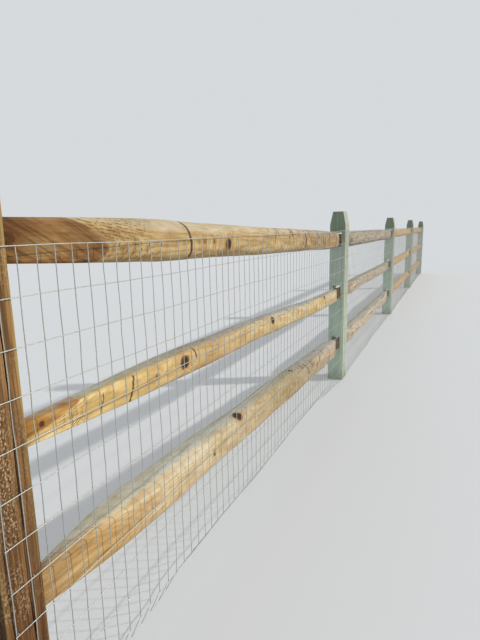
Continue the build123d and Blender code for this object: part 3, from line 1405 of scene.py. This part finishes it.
class Trees:
    """The node trees that lay the wires, the stays, their welds and the staples."""

    # How far the hanging mesh drifts: in waves between posts, and everywhere in small ones
    SLOW_WAVES = 2.3
    QUICK_WAVES = 8.5
    SAG = 0.003
    # The lowest strip, kicked back by feet: its slant, and how much it varies
    KICK = math.radians(34.5)
    KICK_VARIES = 0.12
    # A weld bead, in wires
    BEAD = 0.62
    BEAD_SHAPE = (1.25, 1.0, 1.25)
    # How far a staple leans, in radians, and how far its crown stands out, in legs
    LEAN = 0.45
    CROWN_OUT = 0.28

    def __init__(self) -> None:
        """Keeps one tree for the mesh and one for the staples."""
        self.mesh = self._mesh_tree()
        self.staple = self._staple_tree()

    @staticmethod
    def _start(name: str, sizes: dict[str, object]) -> tuple[Graph, dict[str, Signal]]:
        """A geometry tree with its named inputs.

        Args:
            name: The tree's name.
            sizes: Each input's name and value, None for a material.

        Returns:
            The tree's graph, and its inputs by name with the geometry among them.
        """
        kinds = {int: "NodeSocketInt", float: "NodeSocketFloat", type(None): "NodeSocketMaterial"}
        tree = bpy.data.node_groups.new(name, "GeometryNodeTree")
        tree.interface.new_socket("Geometry", in_out="INPUT", socket_type="NodeSocketGeometry")
        for title, value in sizes.items():
            socket = tree.interface.new_socket(title, in_out="INPUT", socket_type=kinds[type(value)])
            if value is not None:
                socket.default_value = value
        tree.interface.new_socket("Geometry", in_out="OUTPUT", socket_type="NodeSocketGeometry")
        graph = Graph(tree)
        given = graph.node("NodeGroupInput").outputs
        return graph, {socket.name: Signal(graph, socket) for socket in given if socket.name}

    def _lay(self, graph: Graph) -> Socket:
        """How hanging and kicking have moved the mesh from a flat sheet, at each place of it.

        Every wire reads this by its own place, so that crossing wires stay together.

        Args:
            graph: The mesh tree's graph.

        Returns:
            The move.
        """
        x, _, z = graph.parts(graph.node("GeometryNodeInputPosition"))

        def drift(layer: float, stretch: float, scale: float) -> list[Signal]:
            """Slow noise in three directions.

            Args:
                layer: What makes it differ from the other.
                stretch: How much finer it is upwards than along.
                scale: How many clouds to the metre.

            Returns:
                Its three parts, each about 0.
            """
            inputs = {"Vector": graph.compose(x, layer, z * stretch), "Scale": scale, "Detail": 1.0}
            made = graph.node("ShaderNodeTexNoise", inputs)
            return [part - 0.5 for part in graph.parts(made.outputs["Color"])]

        slow = drift(3.7, 0.6, self.SLOW_WAVES)
        quick = drift(9.1, 1.6, self.QUICK_WAVES)
        bays = x / BAY_LENGTH
        away = abs(bays - graph.maths("ROUND", bays)) * BAY_LENGTH
        free = away.step(0.08, 0.45)
        low = 1.0 - z.step(0.05, 0.62)
        shift_x = slow[0] * 0.016 * free + quick[0] * (0.005 + free * 0.004)
        shift_y = slow[1] * 0.007 + quick[1] * 0.003
        shift_z = slow[2] * (0.012 + low * 0.014) + quick[2] * (0.003 + low * 0.007)
        drop = (MESH_GROUND_GAP + LINE_SPACING - z).most(0.0)
        first_bay = 1.0 - x.step(BAY_LENGTH - 0.9, BAY_LENGTH + 0.1) * 0.78
        kick = (away.step(0.04, 0.34) * 0.72 + away.step(0.50, 0.68) * 0.28) * first_bay
        kick = kick * (self.KICK + slow[0] * self.KICK_VARIES)
        lift = (1.0 - x.step(0.60, 1.40)) * (1.0 - z.step(0.32, 0.50)) * 0.011
        back = shift_y * free + drop * graph.maths("SINE", kick)
        rise = (shift_z - free * self.SAG + lift) * free + drop * (1.0 - graph.maths("COSINE", kick))
        return graph.compose(shift_x, back, rise)

    @staticmethod
    def _sweep(graph: Graph, curve: object, wire: Signal) -> Node:
        """Wire along a curve.

        Args:
            graph: The tree's graph.
            curve: The curve.
            wire: How thick the wire is.

        Returns:
            The node that gives it.
        """
        ring = graph.node("GeometryNodeCurvePrimitiveCircle", {"Resolution": 6, "Radius": wire / 2.0})
        inputs = {"Curve": curve, "Profile Curve": ring, "Fill Caps": True}
        return graph.node("GeometryNodeCurveToMesh", inputs)

    @staticmethod
    def _finish(graph: Graph, pieces: list[Node], material: Signal) -> bpy.types.NodeTree:
        """Joins the pieces, makes them plain and gives them their finish.

        Args:
            graph: The tree's graph.
            pieces: The nodes that give the pieces.
            material: The finish.

        Returns:
            The finished tree.
        """
        joined = graph.node("GeometryNodeJoinGeometry")
        for piece in pieces:
            graph.feed(joined.inputs[0], piece)
        smooth = graph.node("GeometryNodeSetShadeSmooth", {0: joined})
        plain = graph.node("GeometryNodeRealizeInstances", {0: smooth})
        dressed = graph.node("GeometryNodeSetMaterial", {"Geometry": plain, "Material": material})
        graph.node("NodeGroupOutput", {0: dressed})
        return graph.tree

    def _mesh_tree(self) -> bpy.types.NodeTree:
        """Line wires, stays and welds from a sheet's left and right ends and its counts.

        Returns:
            The tree.
        """
        sizes = {
            "Left": 0.0,
            "Right": 1.0,
            "Line steps": 100,
            "Line wires": 2,
            "First line": 0.0,
            "Line pitch": LINE_SPACING,
            "First stay": 0.0,
            "Stays": 1,
            "Stay pitch": STAY_SPACING,
            "Weld rows": LINE_COUNT,
            "Wire": WIRE,
            "Material": None,
        }
        graph, value = self._start("welded_mesh", sizes)
        lay = self._lay(graph)

        def row(count: object, start: object, pitch: object) -> Node:
            """Points in a row."""
            inputs = {"Count": count, "Start Location": start, "Offset": pitch}
            return graph.node("GeometryNodeMeshLine", inputs)

        def copied(points: object, instance: object) -> Node:
            """Copies of a shape, laid over the sheet.

            Args:
                points: Where they stand.
                instance: The shape.

            Returns:
                The node that gives them.
            """
            copies = graph.node("GeometryNodeInstanceOnPoints", {"Points": points, "Instance": instance})
            plain = graph.node("GeometryNodeRealizeInstances", {0: copies})
            return graph.node("GeometryNodeSetPosition", {"Geometry": plain, "Offset": lay})

        def drawn(start: object, end: object, steps: object, places: object) -> Node:
            """Straight wires, laid over the sheet and given their thickness.

            Args:
                start: Where a wire starts.
                end: Where it ends.
                steps: How many points it has.
                places: Where each wire stands.

            Returns:
                The node that gives them.
            """
            line = graph.node("GeometryNodeCurvePrimitiveLine", {"Start": start, "End": end})
            cut = graph.node("GeometryNodeResampleCurve", {"Curve": line, "Count": steps})
            return self._sweep(graph, copied(places, cut), value["Wire"])

        front = -POST_DEPTH / 2 - WIRE * 1.5
        behind = -POST_DEPTH / 2 - WIRE * 0.5
        heights = row(
            value["Line wires"],
            graph.compose(0.0, 0.0, value["First line"]),
            graph.compose(0.0, 0.0, value["Line pitch"]),
        )
        left = graph.compose(value["Left"], front, 0.0)
        right = graph.compose(value["Right"], front, 0.0)
        lines = drawn(left, right, value["Line steps"], heights)

        columns = row(
            value["Stays"],
            graph.compose(value["First stay"], 0.0, 0.0),
            graph.compose(value["Stay pitch"], 0.0, 0.0),
        )
        foot = MESH_GROUND_GAP - WIRE / 2
        top = MESH_GROUND_GAP + (LINE_COUNT - 1) * LINE_SPACING + WIRE / 2
        stays = drawn((0.0, behind, foot), (0.0, behind, top), (LINE_COUNT - 1) * 3 + 1, columns)

        lowest = (0.0, (front + behind) / 2, MESH_GROUND_GAP)
        grid = copied(columns, row(value["Weld rows"], lowest, (0.0, 0.0, LINE_SPACING)))
        inputs = {"Radius": value["Wire"] * self.BEAD, "Subdivisions": 1}
        bead = graph.node("GeometryNodeMeshIcoSphere", inputs)
        inputs = {"Points": grid, "Instance": bead, "Scale": self.BEAD_SHAPE}
        beads = graph.node("GeometryNodeInstanceOnPoints", inputs)
        beads = graph.node("GeometryNodeRealizeInstances", {0: beads})
        inputs = {"Geometry": beads, "Name": "weld", "Value": 1.0}
        beads = graph.node("GeometryNodeStoreNamedAttribute", inputs, domain="POINT")
        return self._finish(graph, [lines, stays, beads], value["Material"])

    def _staple_tree(self) -> bpy.types.NodeTree:
        """A staple over the wire at every point of the piece.

        Returns:
            The tree.
        """
        sizes = {"Crown": 0.009, "Leg": 0.018, "Wire": 0.0018, "Seed": 5, "Material": None}
        graph, value = self._start("fence_staples", sizes)
        half = value["Crown"] / 2.0
        leg = value["Leg"]
        inputs = {
            "Start": graph.compose(0.0, leg, half * -1.0),
            "Start Handle": graph.compose(0.0, leg * -self.CROWN_OUT, half * -1.0),
            "End Handle": graph.compose(0.0, leg * -self.CROWN_OUT, half),
            "End": graph.compose(0.0, leg, half),
            "Resolution": 12,
        }
        bow = graph.node("GeometryNodeCurvePrimitiveBezierSegment", inputs)
        lean = (0.0, self.LEAN, 0.0)
        inputs = {0: tuple(-part for part in lean), 1: lean, "Seed": value["Seed"]}
        tilt = graph.node("FunctionNodeRandomValue", inputs, data_type="FLOAT_VECTOR")
        staple = self._sweep(graph, bow, value["Wire"])
        inputs = {"Points": value["Geometry"], "Instance": staple, "Rotation": tilt}
        copies = graph.node("GeometryNodeInstanceOnPoints", inputs)
        return self._finish(graph, [copies], value["Material"])


def grown(
    name: str,
    tree: bpy.types.NodeTree,
    inputs: dict[str, object],
    points: list[Triple] | None = None,
) -> Piece:
    """A plain mesh object from a geometry tree.

    Args:
        name: The piece's name.
        tree: The tree.
        inputs: Its named inputs.
        points: Points that the tree starts from.

    Returns:
        The object, with its modifier gone.
    """
    mesh = bpy.data.meshes.new(name)
    mesh.from_pydata(points or [], [], [])
    made = bpy.data.objects.new(name, mesh)
    bpy.context.scene.collection.objects.link(made)
    modifier = made.modifiers.new("grow", "NODES")
    modifier.node_group = tree
    for item in tree.interface.items_tree:
        if item.in_out == "INPUT" and item.name in inputs:
            modifier[item.identifier] = inputs[item.name]
    replace_mesh(made)
    return made


@dataclass
class WireMesh:
    """The welded wire mesh on the front of the fence, and the staples that hold it.

    On a post a staple stays arris_room off the arris, and uses the share spread of the
    rest. crown_gap is how far its crown stands off the line wires there, and rail_gap how
    much nearer it stands on a rail. A rail that is sawn no thinner than reaches_mesh
    touches the mesh. Its staples start and end rail_ends from its posts, come every
    rail_pitch, and hold a line wire that lies within near_axis diameters of its axis.
    """

    arris_room: float = 0.018
    spread: float = 0.8
    crown_gap: float = 0.0002
    rail_gap: float = 0.0006
    reaches_mesh: float = 0.104
    rail_ends: Pair = (0.42, 0.30)
    rail_pitch: float = 0.61
    near_axis: float = 0.26

    def __post_init__(self) -> None:
        """Finds the places of the stays and the line wires."""
        first = MESH_EDGE_INSET - END_POST_WIDTH / 2
        last = BAY_COUNT * BAY_LENGTH + LINE_POST_WIDTH / 2 - MESH_EDGE_INSET
        count = int((last - first) // STAY_SPACING) + 1
        self.stays = [first + number * STAY_SPACING for number in range(count)]
        self.lines = [MESH_GROUND_GAP + row * LINE_SPACING for row in range(LINE_COUNT)]
        self.trees = Trees()
        self.zinc = Zinc().material()

    def build(self, rails: list[Rail]) -> None:
        """Makes the panels, the line wires between and the staples.

        Args:
            rails: The rails that the mesh is stapled to.
        """
        slot = "galvanised_wire"
        for bay in range(1, BAY_COUNT + 1):
            dress(self._panel(bay), slot, f"bay_{bay}_mesh_stays")
        inputs = {
            "Left": self.stays[0] - MESH_STUB,
            "Right": self.stays[-1] + MESH_STUB,
            "Line steps": 2 * len(self.stays),
            "Line wires": LINE_COUNT - 2,
            "First line": self.lines[1],
            "Stays": 0,
            "Weld rows": 0,
            "Material": self.zinc,
        }
        dress(grown("mesh_line_wire_run", self.trees.mesh, inputs), slot, "mesh_line_wires")
        inputs = {"Material": self.zinc}
        dress(grown("mesh_staples", self.trees.staple, inputs, self._staple_places(rails)), slot)

    def _panel(self, bay: int) -> Piece:
        """One bay's stays, between the lowest and the highest line wire.

        Args:
            bay: The bay, counted from 1.

        Returns:
            The panel, not yet dressed.
        """
        places = [x for x in self.stays if min(max(int(x // BAY_LENGTH) + 1, 1), BAY_COUNT) == bay]
        inputs = {
            "Left": places[0] - (MESH_STUB if bay == 1 else STAY_SPACING / 2),
            "Right": places[-1] + (MESH_STUB if bay == BAY_COUNT else STAY_SPACING / 2),
            "Line steps": 2 * len(places) + 1,
            "First line": self.lines[0],
            "Line pitch": LINE_SPACING * (LINE_COUNT - 1),
            "First stay": places[0],
            "Stays": len(places),
            "Material": self.zinc,
        }
        return grown(f"bay_{bay}_mesh_panel", self.trees.mesh, inputs)

    def _staple_places(self, rails: list[Rail]) -> list[Triple]:
        """Where staples hold the mesh: up each post, and along the rails that it touches.

        Args:
            rails: The rails.

        Returns:
            The staples' places.
        """
        crown = -POST_DEPTH / 2 - WIRE * 2.0 - self.crown_gap
        places = []
        for station in range(BAY_COUNT + 1):
            reach = post_width(station) / 2 - self.arris_room
            for number, height in enumerate(self.lines):
                side = reach if (number + station) % 2 else -reach
                places.append((station * BAY_LENGTH + side * self.spread, crown, height))
        for rail in rails:
            if rail.slab < self.reaches_mesh:
                continue
            first = rail.faces[0] + self.rail_ends[0]
            last = rail.faces[1] - self.rail_ends[1]
            for x in np.arange(first, last, self.rail_pitch):
                axis = float(rail.axis_height(x))
                near = min(self.lines, key=lambda height: abs(height - axis))
                if abs(near - axis) < rail.diameter * self.near_axis:
                    places.append((float(x), crown + self.rail_gap, near))
        return places


# The timbers, from what each stick shows

RAIL_PINES = {
    (1, Level.TOP): Pine(
        heart=(0.290, 0.155, 0.056),
        sap=(0.600, 0.430, 0.195),
        gold=(0.440, 0.290, 0.125),
        late=(0.230, 0.120, 0.042),
        skin=(0.600, 0.470, 0.275),
        top=(0.530, 0.450, 0.310),
        cut=(0.320, -0.018, 27.0, 0.012),
        contrast=0.40,
        top_from=0.002,
        pith=(0.010, -0.008),
        bare=0.75,
        fan=(0.50, 0.75),
        hatch=(1.00, 0.80, 34.0, 12.0),
        # Darker toward the near post: a stain, and painted shade where the rail goes into the post
        tones=(
            (0.00, (0.42, 0.30, 0.19)),
            (0.06, (0.62, 0.54, 0.44)),
            (0.13, (0.90, 0.88, 0.82)),
            (0.45, (0.93, 0.92, 0.90)),
            (0.85, (1.02, 1.02, 1.02)),
            (1.70, (1.00, 1.00, 1.00)),
            (2.40, (0.85, 0.79, 0.80)),
        ),
        flecks=Flecks(0.18, 0.52, -0.005, 6.1, 0.050),
    ),
    (1, Level.MIDDLE): Pine(
        heart=(0.360, 0.170, 0.042),
        sap=(0.740, 0.570, 0.295),
        gold=(0.570, 0.380, 0.140),
        late=(0.400, 0.220, 0.075),
        skin=(0.680, 0.560, 0.340),
        top=(0.375, 0.405, 0.395),
        cut=(0.200, 0.045, 65.0, 0.012),
        contrast=0.30,
        top_from=0.017,
        pith=(0.0, 0.020),
        bare=0.62,
        tones=(
            (0.00, (0.71, 0.65, 0.47)),
            (0.05, (1.08, 1.08, 1.00)),
            (0.12, (1.24, 1.27, 1.26)),
            (0.26, (1.04, 1.02, 0.86)),
            (0.50, (0.94, 0.89, 0.76)),
            (0.90, (0.83, 0.76, 0.69)),
            (1.80, (1.00, 1.03, 1.08)),
        ),
        flecks=Flecks(0.115, 0.235, -0.040, -1.7, 0.012, (80.0, 45.0, 78.0), 1.0),
    ),
    (1, Level.BOTTOM): Pine(
        heart=(0.525, 0.335, 0.140),
        sap=(0.670, 0.535, 0.325),
        gold=(0.560, 0.370, 0.180),
        late=(0.440, 0.260, 0.110),
        skin=(0.640, 0.540, 0.370),
        top=(0.470, 0.470, 0.400),
        cut=(0.340, -0.010, 36.0, 0.120),
        contrast=0.42,
        top_from=0.026,
        chatter=0.22,
        tones=(
            (0.00, (0.80, 0.78, 0.70)),
            (0.08, (0.88, 0.86, 0.84)),
            (0.20, (1.07, 1.10, 1.05)),
            (0.42, (1.05, 1.06, 1.05)),
            (0.75, (1.02, 1.06, 1.10)),
            (1.20, (0.88, 0.88, 0.86)),
            (1.80, (0.70, 0.70, 0.60)),
            (2.70, (0.92, 0.92, 1.10)),
        ),
        hatch=(1.40, 0.80, 30.0, 14.0),
    ),
}
BAY_PINES = (
    RAIL_PINES[1, Level.MIDDLE],
    Pine(
        heart=(0.490, 0.385, 0.275),
        sap=(0.630, 0.550, 0.415),
        gold=(0.550, 0.390, 0.260),
        late=(0.265, 0.180, 0.122),
        skin=(0.520, 0.460, 0.345),
        top=(0.370, 0.355, 0.285),
        hatch=(-0.9, 0.95, 7.0, 34.0),
    ),
    Pine(
        heart=(0.620, 0.345, 0.125),
        sap=(0.770, 0.520, 0.240),
        gold=(0.720, 0.425, 0.165),
        late=(0.460, 0.240, 0.090),
        skin=(0.720, 0.450, 0.190),
        top=(0.600, 0.430, 0.220),
        hatch=(-0.9, 0.50, 7.0, 38.0),
    ),
    Pine(
        heart=(0.660, 0.360, 0.125),
        sap=(0.800, 0.530, 0.240),
        gold=(0.760, 0.440, 0.170),
        late=(0.490, 0.250, 0.092),
        skin=(0.780, 0.460, 0.200),
        top=(0.640, 0.440, 0.210),
        hatch=(-0.9, 0.50, 7.0, 38.0),
    ),
)

# Whole rails that are paler or darker than the others of their bay
RAIL_SHADES = {
    (2, Level.BOTTOM): (1.17, 1.17, 1.20),
    (2, Level.TOP): (0.84, 0.86, 0.87),
}

# Each log's diameter and slabbed depth, and its tongues' heights and tapers, near and far
RAIL_SIZES = {
    (1, Level.BOTTOM): (0.146, 0.116, (0.082, 0.080), (0.460, 0.260)),
    (1, Level.MIDDLE): (0.104, 0.092, (0.054, 0.078), (0.800, 0.200)),
    (1, Level.TOP): (0.134, 0.114, (0.092, 0.100), (0.520, 0.200)),
    (2, Level.BOTTOM): (0.130, 0.112, (0.094, 0.082), (0.300, 0.620)),
    (2, Level.MIDDLE): (0.112, 0.104, (0.092, 0.080), (0.260, 0.560)),
    (2, Level.TOP): (0.134, 0.116, (0.098, 0.098), (0.240, 0.320)),
    (3, Level.BOTTOM): (0.112, 0.104, (0.084, 0.086), (0.420, 0.300)),
    (3, Level.MIDDLE): (0.108, 0.100, (0.090, 0.078), (0.300, 0.460)),
    (3, Level.TOP): (0.118, 0.108, (0.096, 0.090), (0.260, 0.380)),
    (4, Level.BOTTOM): (0.116, 0.106, (0.088, 0.084), (0.360, 0.340)),
    (4, Level.MIDDLE): (0.110, 0.100, (0.086, 0.090), (0.480, 0.240)),
    (4, Level.TOP): (0.126, 0.112, (0.096, 0.094), (0.300, 0.420)),
}

# Knots and scars of the nearest bay's rails; the others' are drawn
RAIL_KNOTS = {
    (1, Level.TOP): (
        Knot(1.060, 194.0, 0.020, 0.95),
        Knot(0.080, 165.0, 0.013, 0.10),
        Knot(0.867, 184.0, 0.008, 0.30),
        Knot(0.943, 184.0, 0.008, 0.45),
        Knot(2.40, 160.0, 0.008, 0.5),
        Knot(1.55, 20.0, 0.012, 0.8),
        Knot(0.60, 70.0, 0.010, 0.6),
    ),
    (1, Level.MIDDLE): (
        Knot(0.116, 146.0, 0.0065, 0.70),
        Knot(0.721, 162.0, 0.021, 0.95),
        Knot(0.560, 166.0, 0.006, 0.1),
        Knot(1.575, 148.0, 0.018, 0.95),
        Knot(2.630, 142.0, 0.013, 0.95),
        Knot(1.10, 10.0, 0.012, 0.8),
    ),
    (1, Level.BOTTOM): (
        Knot(1.152, 118.0, 0.023, 0.95),
        Knot(0.887, 174.0, 0.009, 0.5),
        Knot(2.616, 240.0, 0.013, 0.95),
        Knot(1.95, 98.0, 0.013, 0.9),
        Knot(1.75, 15.0, 0.013, 0.8),
    ),
}

RAIL_SEAMS = {
    (1, Level.TOP): (
        Seam(0.752, 0.784, 98.0, 262.0, width=0.0036, stain=0.0090),
        Seam(1.850, 1.900, 95.0, 205.0, width=0.0045, stain=0.0090),
        Seam(2.095, 2.125, 95.0, 225.0, depth=0.0030, width=0.0060, stain=0.0110),
        Seam(2.500, 2.530, 95.0, 215.0, depth=0.0018),
        Seam(2.690, 2.700, 90.0, 200.0, depth=0.0018),
        Seam(2.890, 2.900, 80.0, 230.0, depth=0.0018),
    ),
    (1, Level.MIDDLE): (
        Seam(0.459, 0.420, 118.0, 240.0),
        Seam(0.330, 0.302, 135.0, 250.0, depth=0.0010, width=0.0015, stain=0.0030),
        Seam(0.800, 0.790, 110.0, 168.0, depth=0.0030),
        Seam(2.556, 2.560, 100.0, 160.0, depth=0.0030),
    ),
    (1, Level.BOTTOM): (
        Seam(2.140, 2.260, 105.0, 185.0, depth=0.0030, width=0.0060, stain=0.0110),
        Seam(2.270, 2.300, 110.0, 190.0, width=0.0050, stain=0.0090),
        Seam(2.560, 2.220, 115.0, 225.0, depth=0.0030, width=0.0060, stain=0.0100),
    ),
}


# Drawn knots: their turns round the log, the stretch of it that each has, and their ranges
KNOT_TURNS = (175.0, 20.0, 130.0, 200.0)
KNOTS_FROM = 0.35
KNOT_PITCH = 0.62
KNOT_RANGES = ((0.1, 0.9), (0.007, 0.014), (0.4, 0.95))
SCAR_DEPTH = 0.0014

# Length of a rail's faces and their number round it, bay by bay
RAIL_FINENESS = ((0.014, 104), (0.022, 72), (0.030, 60), (0.034, 56))


def drawn_knots(bay: int, draw: np.random.Generator) -> tuple[Knot, ...]:
    """Knots of a rail that the photograph doesn't show closely.

    Args:
        bay: The rail's bay.
        draw: Where chance comes from.

    Returns:
        The knots, one to each stretch of the rail.
    """
    low = (bay - 1) * BAY_LENGTH + KNOTS_FROM
    place, size, dark = KNOT_RANGES
    knots = []
    for number, turn in enumerate(KNOT_TURNS):
        x = low + (number + draw.uniform(*place)) * KNOT_PITCH
        knots.append(Knot(x, turn, draw.uniform(*size), draw.uniform(*dark)))
    return tuple(knots)


def drawn_seam(bay: int, draw: np.random.Generator) -> Seam:
    """A scar of a rail that the photograph doesn't show closely.

    Args:
        bay: The rail's bay.
        draw: Where chance comes from.

    Returns:
        The scar.
    """
    top, foot = (bay - 1) * BAY_LENGTH + draw.uniform(0.6, 2.4) + draw.uniform(-0.012, 0.012, 2)
    first = draw.uniform(85.0, 120.0)
    return Seam(top, foot, first, draw.uniform(160.0, 215.0), SCAR_DEPTH)


def rails() -> list[Rail]:
    """Every rail of the fence, bay by bay.

    Returns:
        The rails, not yet built.
    """
    made = []
    for (bay, level), (diameter, slab, tongues, tapers) in RAIL_SIZES.items():
        draw = np.random.default_rng(500 + bay * 10 + level.value)
        pine = RAIL_PINES.get((bay, level), BAY_PINES[bay - 1])
        shade = RAIL_SHADES.get((bay, level))
        if shade:
            pine = replace(pine, tones=((0.0, shade), (BAY_LENGTH, shade)))
        knots = RAIL_KNOTS.get((bay, level)) or drawn_knots(bay, draw)
        seams = RAIL_SEAMS.get((bay, level)) or (drawn_seam(bay, draw),)
        fineness = RAIL_FINENESS[bay - 1]
        made.append(Rail(bay, level, diameter, slab, tongues, tapers, pine, knots, seams, *fineness))
    return made


TREATED = PostTimber(
    wood=(0.400, 0.505, 0.430),
    late=(0.290, 0.365, 0.300),
    stain=(0.450, 0.530, 0.445),
    bloom=(0.600, 0.650, 0.560),
    bloom_share=0.35,
    front=(0.500, 0.510, 0.410),
    front_share=0.80,
    arris=(0.600, 0.620, 0.510),
    arris_share=0.85,
    arris_reach=(0.006, 0.034),
    shade_side=(0.96, 1.00, 1.00),
    crown=(0.54, 0.56, 0.50),
    foot=(1.06, 1.16, 1.12),
    mottle=(70.0, 130.0),
    contrast=0.22,
    fibre=0.20,
)
BROWN = PostTimber(
    wood=(0.355, 0.195, 0.072),
    late=(0.130, 0.064, 0.022),
    stain=(0.250, 0.138, 0.056),
    bloom=(0.630, 0.515, 0.335),
    bloom_share=0.85,
    front=(0.410, 0.232, 0.088),
    front_share=0.25,
    arris=(0.480, 0.340, 0.110),
    arris_share=0.60,
    arris_reach=(0.011, 0.011),
    shade_side=(0.38, 0.33, 0.30),
    crown=(1.0, 1.0, 1.0),
    foot=(0.55, 0.47, 0.41),
    mottle=(150.0, 235.0),
    contrast=0.66,
    fibre=0.95,
)


# Cracks of the near end post; each other post has one drawn on every side
NEAR_CHECKS = (
    Check(0.149, 0.02, 1.30, 0.0034),
    Check(0.040, 0.30, 0.95, 0.0025),
    Check(0.185, 0.05, 0.60, 0.0020),
    Check(0.375, 0.10, 1.20, 0.0035),
    Check(0.620, 0.02, 1.00, 0.0045),
    Check(0.890, 0.30, 1.35, 0.0040),
)
CHECK_PLACES = (0.12, 0.38, 0.63, 0.88)
CHECK_DEPTH = 0.0030

# Lengths of the faces of the near end post, of the next post and of the others
NEAR_FINENESS = (0.010, 0.005)
NEXT_FINENESS = (0.014, 0.007)
FAR_FINENESS = (0.024, 0.010)


def drawn_check(place: float, draw: np.random.Generator) -> Check:
    """A crack of a post that the photograph doesn't show closely.

    Args:
        place: How far round the post it is, roughly.
        draw: Where chance comes from.

    Returns:
        The crack.
    """
    around = round(place + draw.uniform(-0.03, 0.03), 4)
    return Check(around, draw.uniform(0.0, 0.4), draw.uniform(0.8, 1.3), CHECK_DEPTH)


def posts() -> list[Post]:
    """Every post of the fence.

    Returns:
        The posts from the near end, not yet built.
    """
    made = [Post(0, BROWN, NEAR_CHECKS, *NEAR_FINENESS)]
    for station in range(1, BAY_COUNT + 1):
        draw = np.random.default_rng(70 + station)
        checks = tuple(drawn_check(place, draw) for place in CHECK_PLACES)
        made.append(Post(station, TREATED, checks, *(NEXT_FINENESS if station == 1 else FAR_FINENESS)))
    return made


@dataclass(frozen=True)
class Studio:
    """A plain pale floor and background, soft light, and the camera.

    The floor fades into the background over fade metres from the fence. toward is where
    the key light stands, and key_angle how wide it is. eye is the camera's place, and
    yaw, pitch and roll turn it.
    """

    backdrop: Colour = (0.68, 0.70, 0.72)
    fill: Colour = (0.96, 0.98, 1.00)
    fill_strength: float = 0.66
    floor_reach: float = 60.0
    floor_roughness: float = 0.95
    fade: Pair = (2.5, 9.0)
    key: Colour = (1.0, 0.965, 0.91)
    key_strength: float = 2.15
    key_angle: float = math.radians(1.6)
    toward: Triple = (0.42, -0.78, 0.52)
    eye: Triple = (-0.597, -0.857, 1.257)
    yaw: float = math.radians(24.61)
    pitch: float = math.radians(-10.91)
    roll: float = math.radians(-1.146)
    sensor: float = 36.0
    lens: float = 26.28
    clip_start: float = 0.02

    def build(self) -> None:
        """Sets the stage."""
        self._world()
        self._floor()
        self._key()
        self._camera()
        bpy.context.scene.view_settings.view_transform = "Standard"

    def _world(self) -> None:
        """A pale background for the camera, and soft light from all round."""
        world = bpy.data.worlds.new("studio")
        world.use_nodes = True
        world.node_tree.nodes.clear()
        graph = Graph(world.node_tree)
        path = graph.node("ShaderNodeLightPath").outputs
        kinds = ("Camera", "Glossy", "Transmission")
        camera, glossy, through = (Signal(graph, path[f"Is {kind} Ray"]) for kind in kinds)
        pale = graph.node("ShaderNodeBackground", {"Color": self.backdrop, "Strength": 1.0})
        soft = graph.node("ShaderNodeBackground", {"Color": self.fill, "Strength": self.fill_strength})
        inputs = {0: camera.most(glossy).most(through), 1: soft, 2: pale}
        mixed = graph.node("ShaderNodeMixShader", inputs)
        graph.node("ShaderNodeOutputWorld", {"Surface": mixed})
        bpy.context.scene.world = world

    def _floor(self) -> None:
        """A floor that takes the fence's shadow and fades into the background far from it."""
        material, graph, shader = new_material("studio_floor")
        shader.inputs["Base Color"].default_value = (*self.backdrop, 1.0)
        shader.inputs["Roughness"].default_value = self.floor_roughness
        length = BAY_COUNT * BAY_LENGTH
        x, y, _ = graph.parts(object_point(graph))
        past_end = (abs(x - length / 2) - length / 2).most(0.0)
        beyond = graph.length(graph.compose(past_end, y, 0.0))
        glow = graph.node("ShaderNodeEmission", {"Color": self.backdrop, "Strength": 1.0})
        mixed = graph.node("ShaderNodeMixShader", {0: beyond.step(*self.fade), 1: shader, 2: glow})
        graph.feed(material.node_tree.nodes["Material Output"].inputs["Surface"], mixed)
        low = -self.floor_reach
        far = self.floor_reach + length
        corners = np.array([(low, low, 0.0), (far, low, 0.0), (far, -low, 0.0), (low, -low, 0.0)])
        floor = mesh_object("studio_floor", corners, [(0, 1, 2, 3)], material)

    def _key(self) -> None:
        """A broad low light from the fence's front and its far end."""
        lamp = bpy.data.lights.new("key", "SUN")
        lamp.energy = self.key_strength
        lamp.angle = self.key_angle
        lamp.color = self.key
        made = bpy.data.objects.new("key", lamp)
        made.rotation_euler = Vector(self.toward).normalized().to_track_quat("Z", "Y").to_euler()
        bpy.context.scene.collection.objects.link(made)

    def _camera(self) -> None:
        """The photograph's own viewpoint."""
        camera = bpy.data.cameras.new("camera")
        camera.sensor_width = self.sensor
        camera.lens = self.lens
        camera.clip_start = self.clip_start
        made = bpy.data.objects.new("camera", camera)
        level_run = math.cos(self.pitch)
        east, north = math.cos(self.yaw), math.sin(self.yaw)
        ahead = Vector((east * level_run, north * level_run, math.sin(self.pitch)))
        level = Vector((north, -east, 0.0))
        upright = level.cross(ahead)
        right = level * math.cos(self.roll) + upright * math.sin(self.roll)
        up = upright * math.cos(self.roll) - level * math.sin(self.roll)
        turn = Matrix((right, up, -ahead)).transposed()
        made.matrix_world = Matrix.Translation(self.eye) @ turn.to_4x4()
        bpy.context.scene.collection.objects.link(made)
        bpy.context.scene.camera = made


def main() -> None:
    """Builds the fence's looks piece by piece, and the studio round it."""
    logging.basicConfig(level=logging.INFO, format="%(message)s")
    sticks = rails()
    for post in posts():
        post.build()
    for rail in sticks:
        rail.build()
    WireMesh().build(sticks)
    Studio().build()
    bpy.context.view_layer.update()


if __name__ == "__main__":
    main()
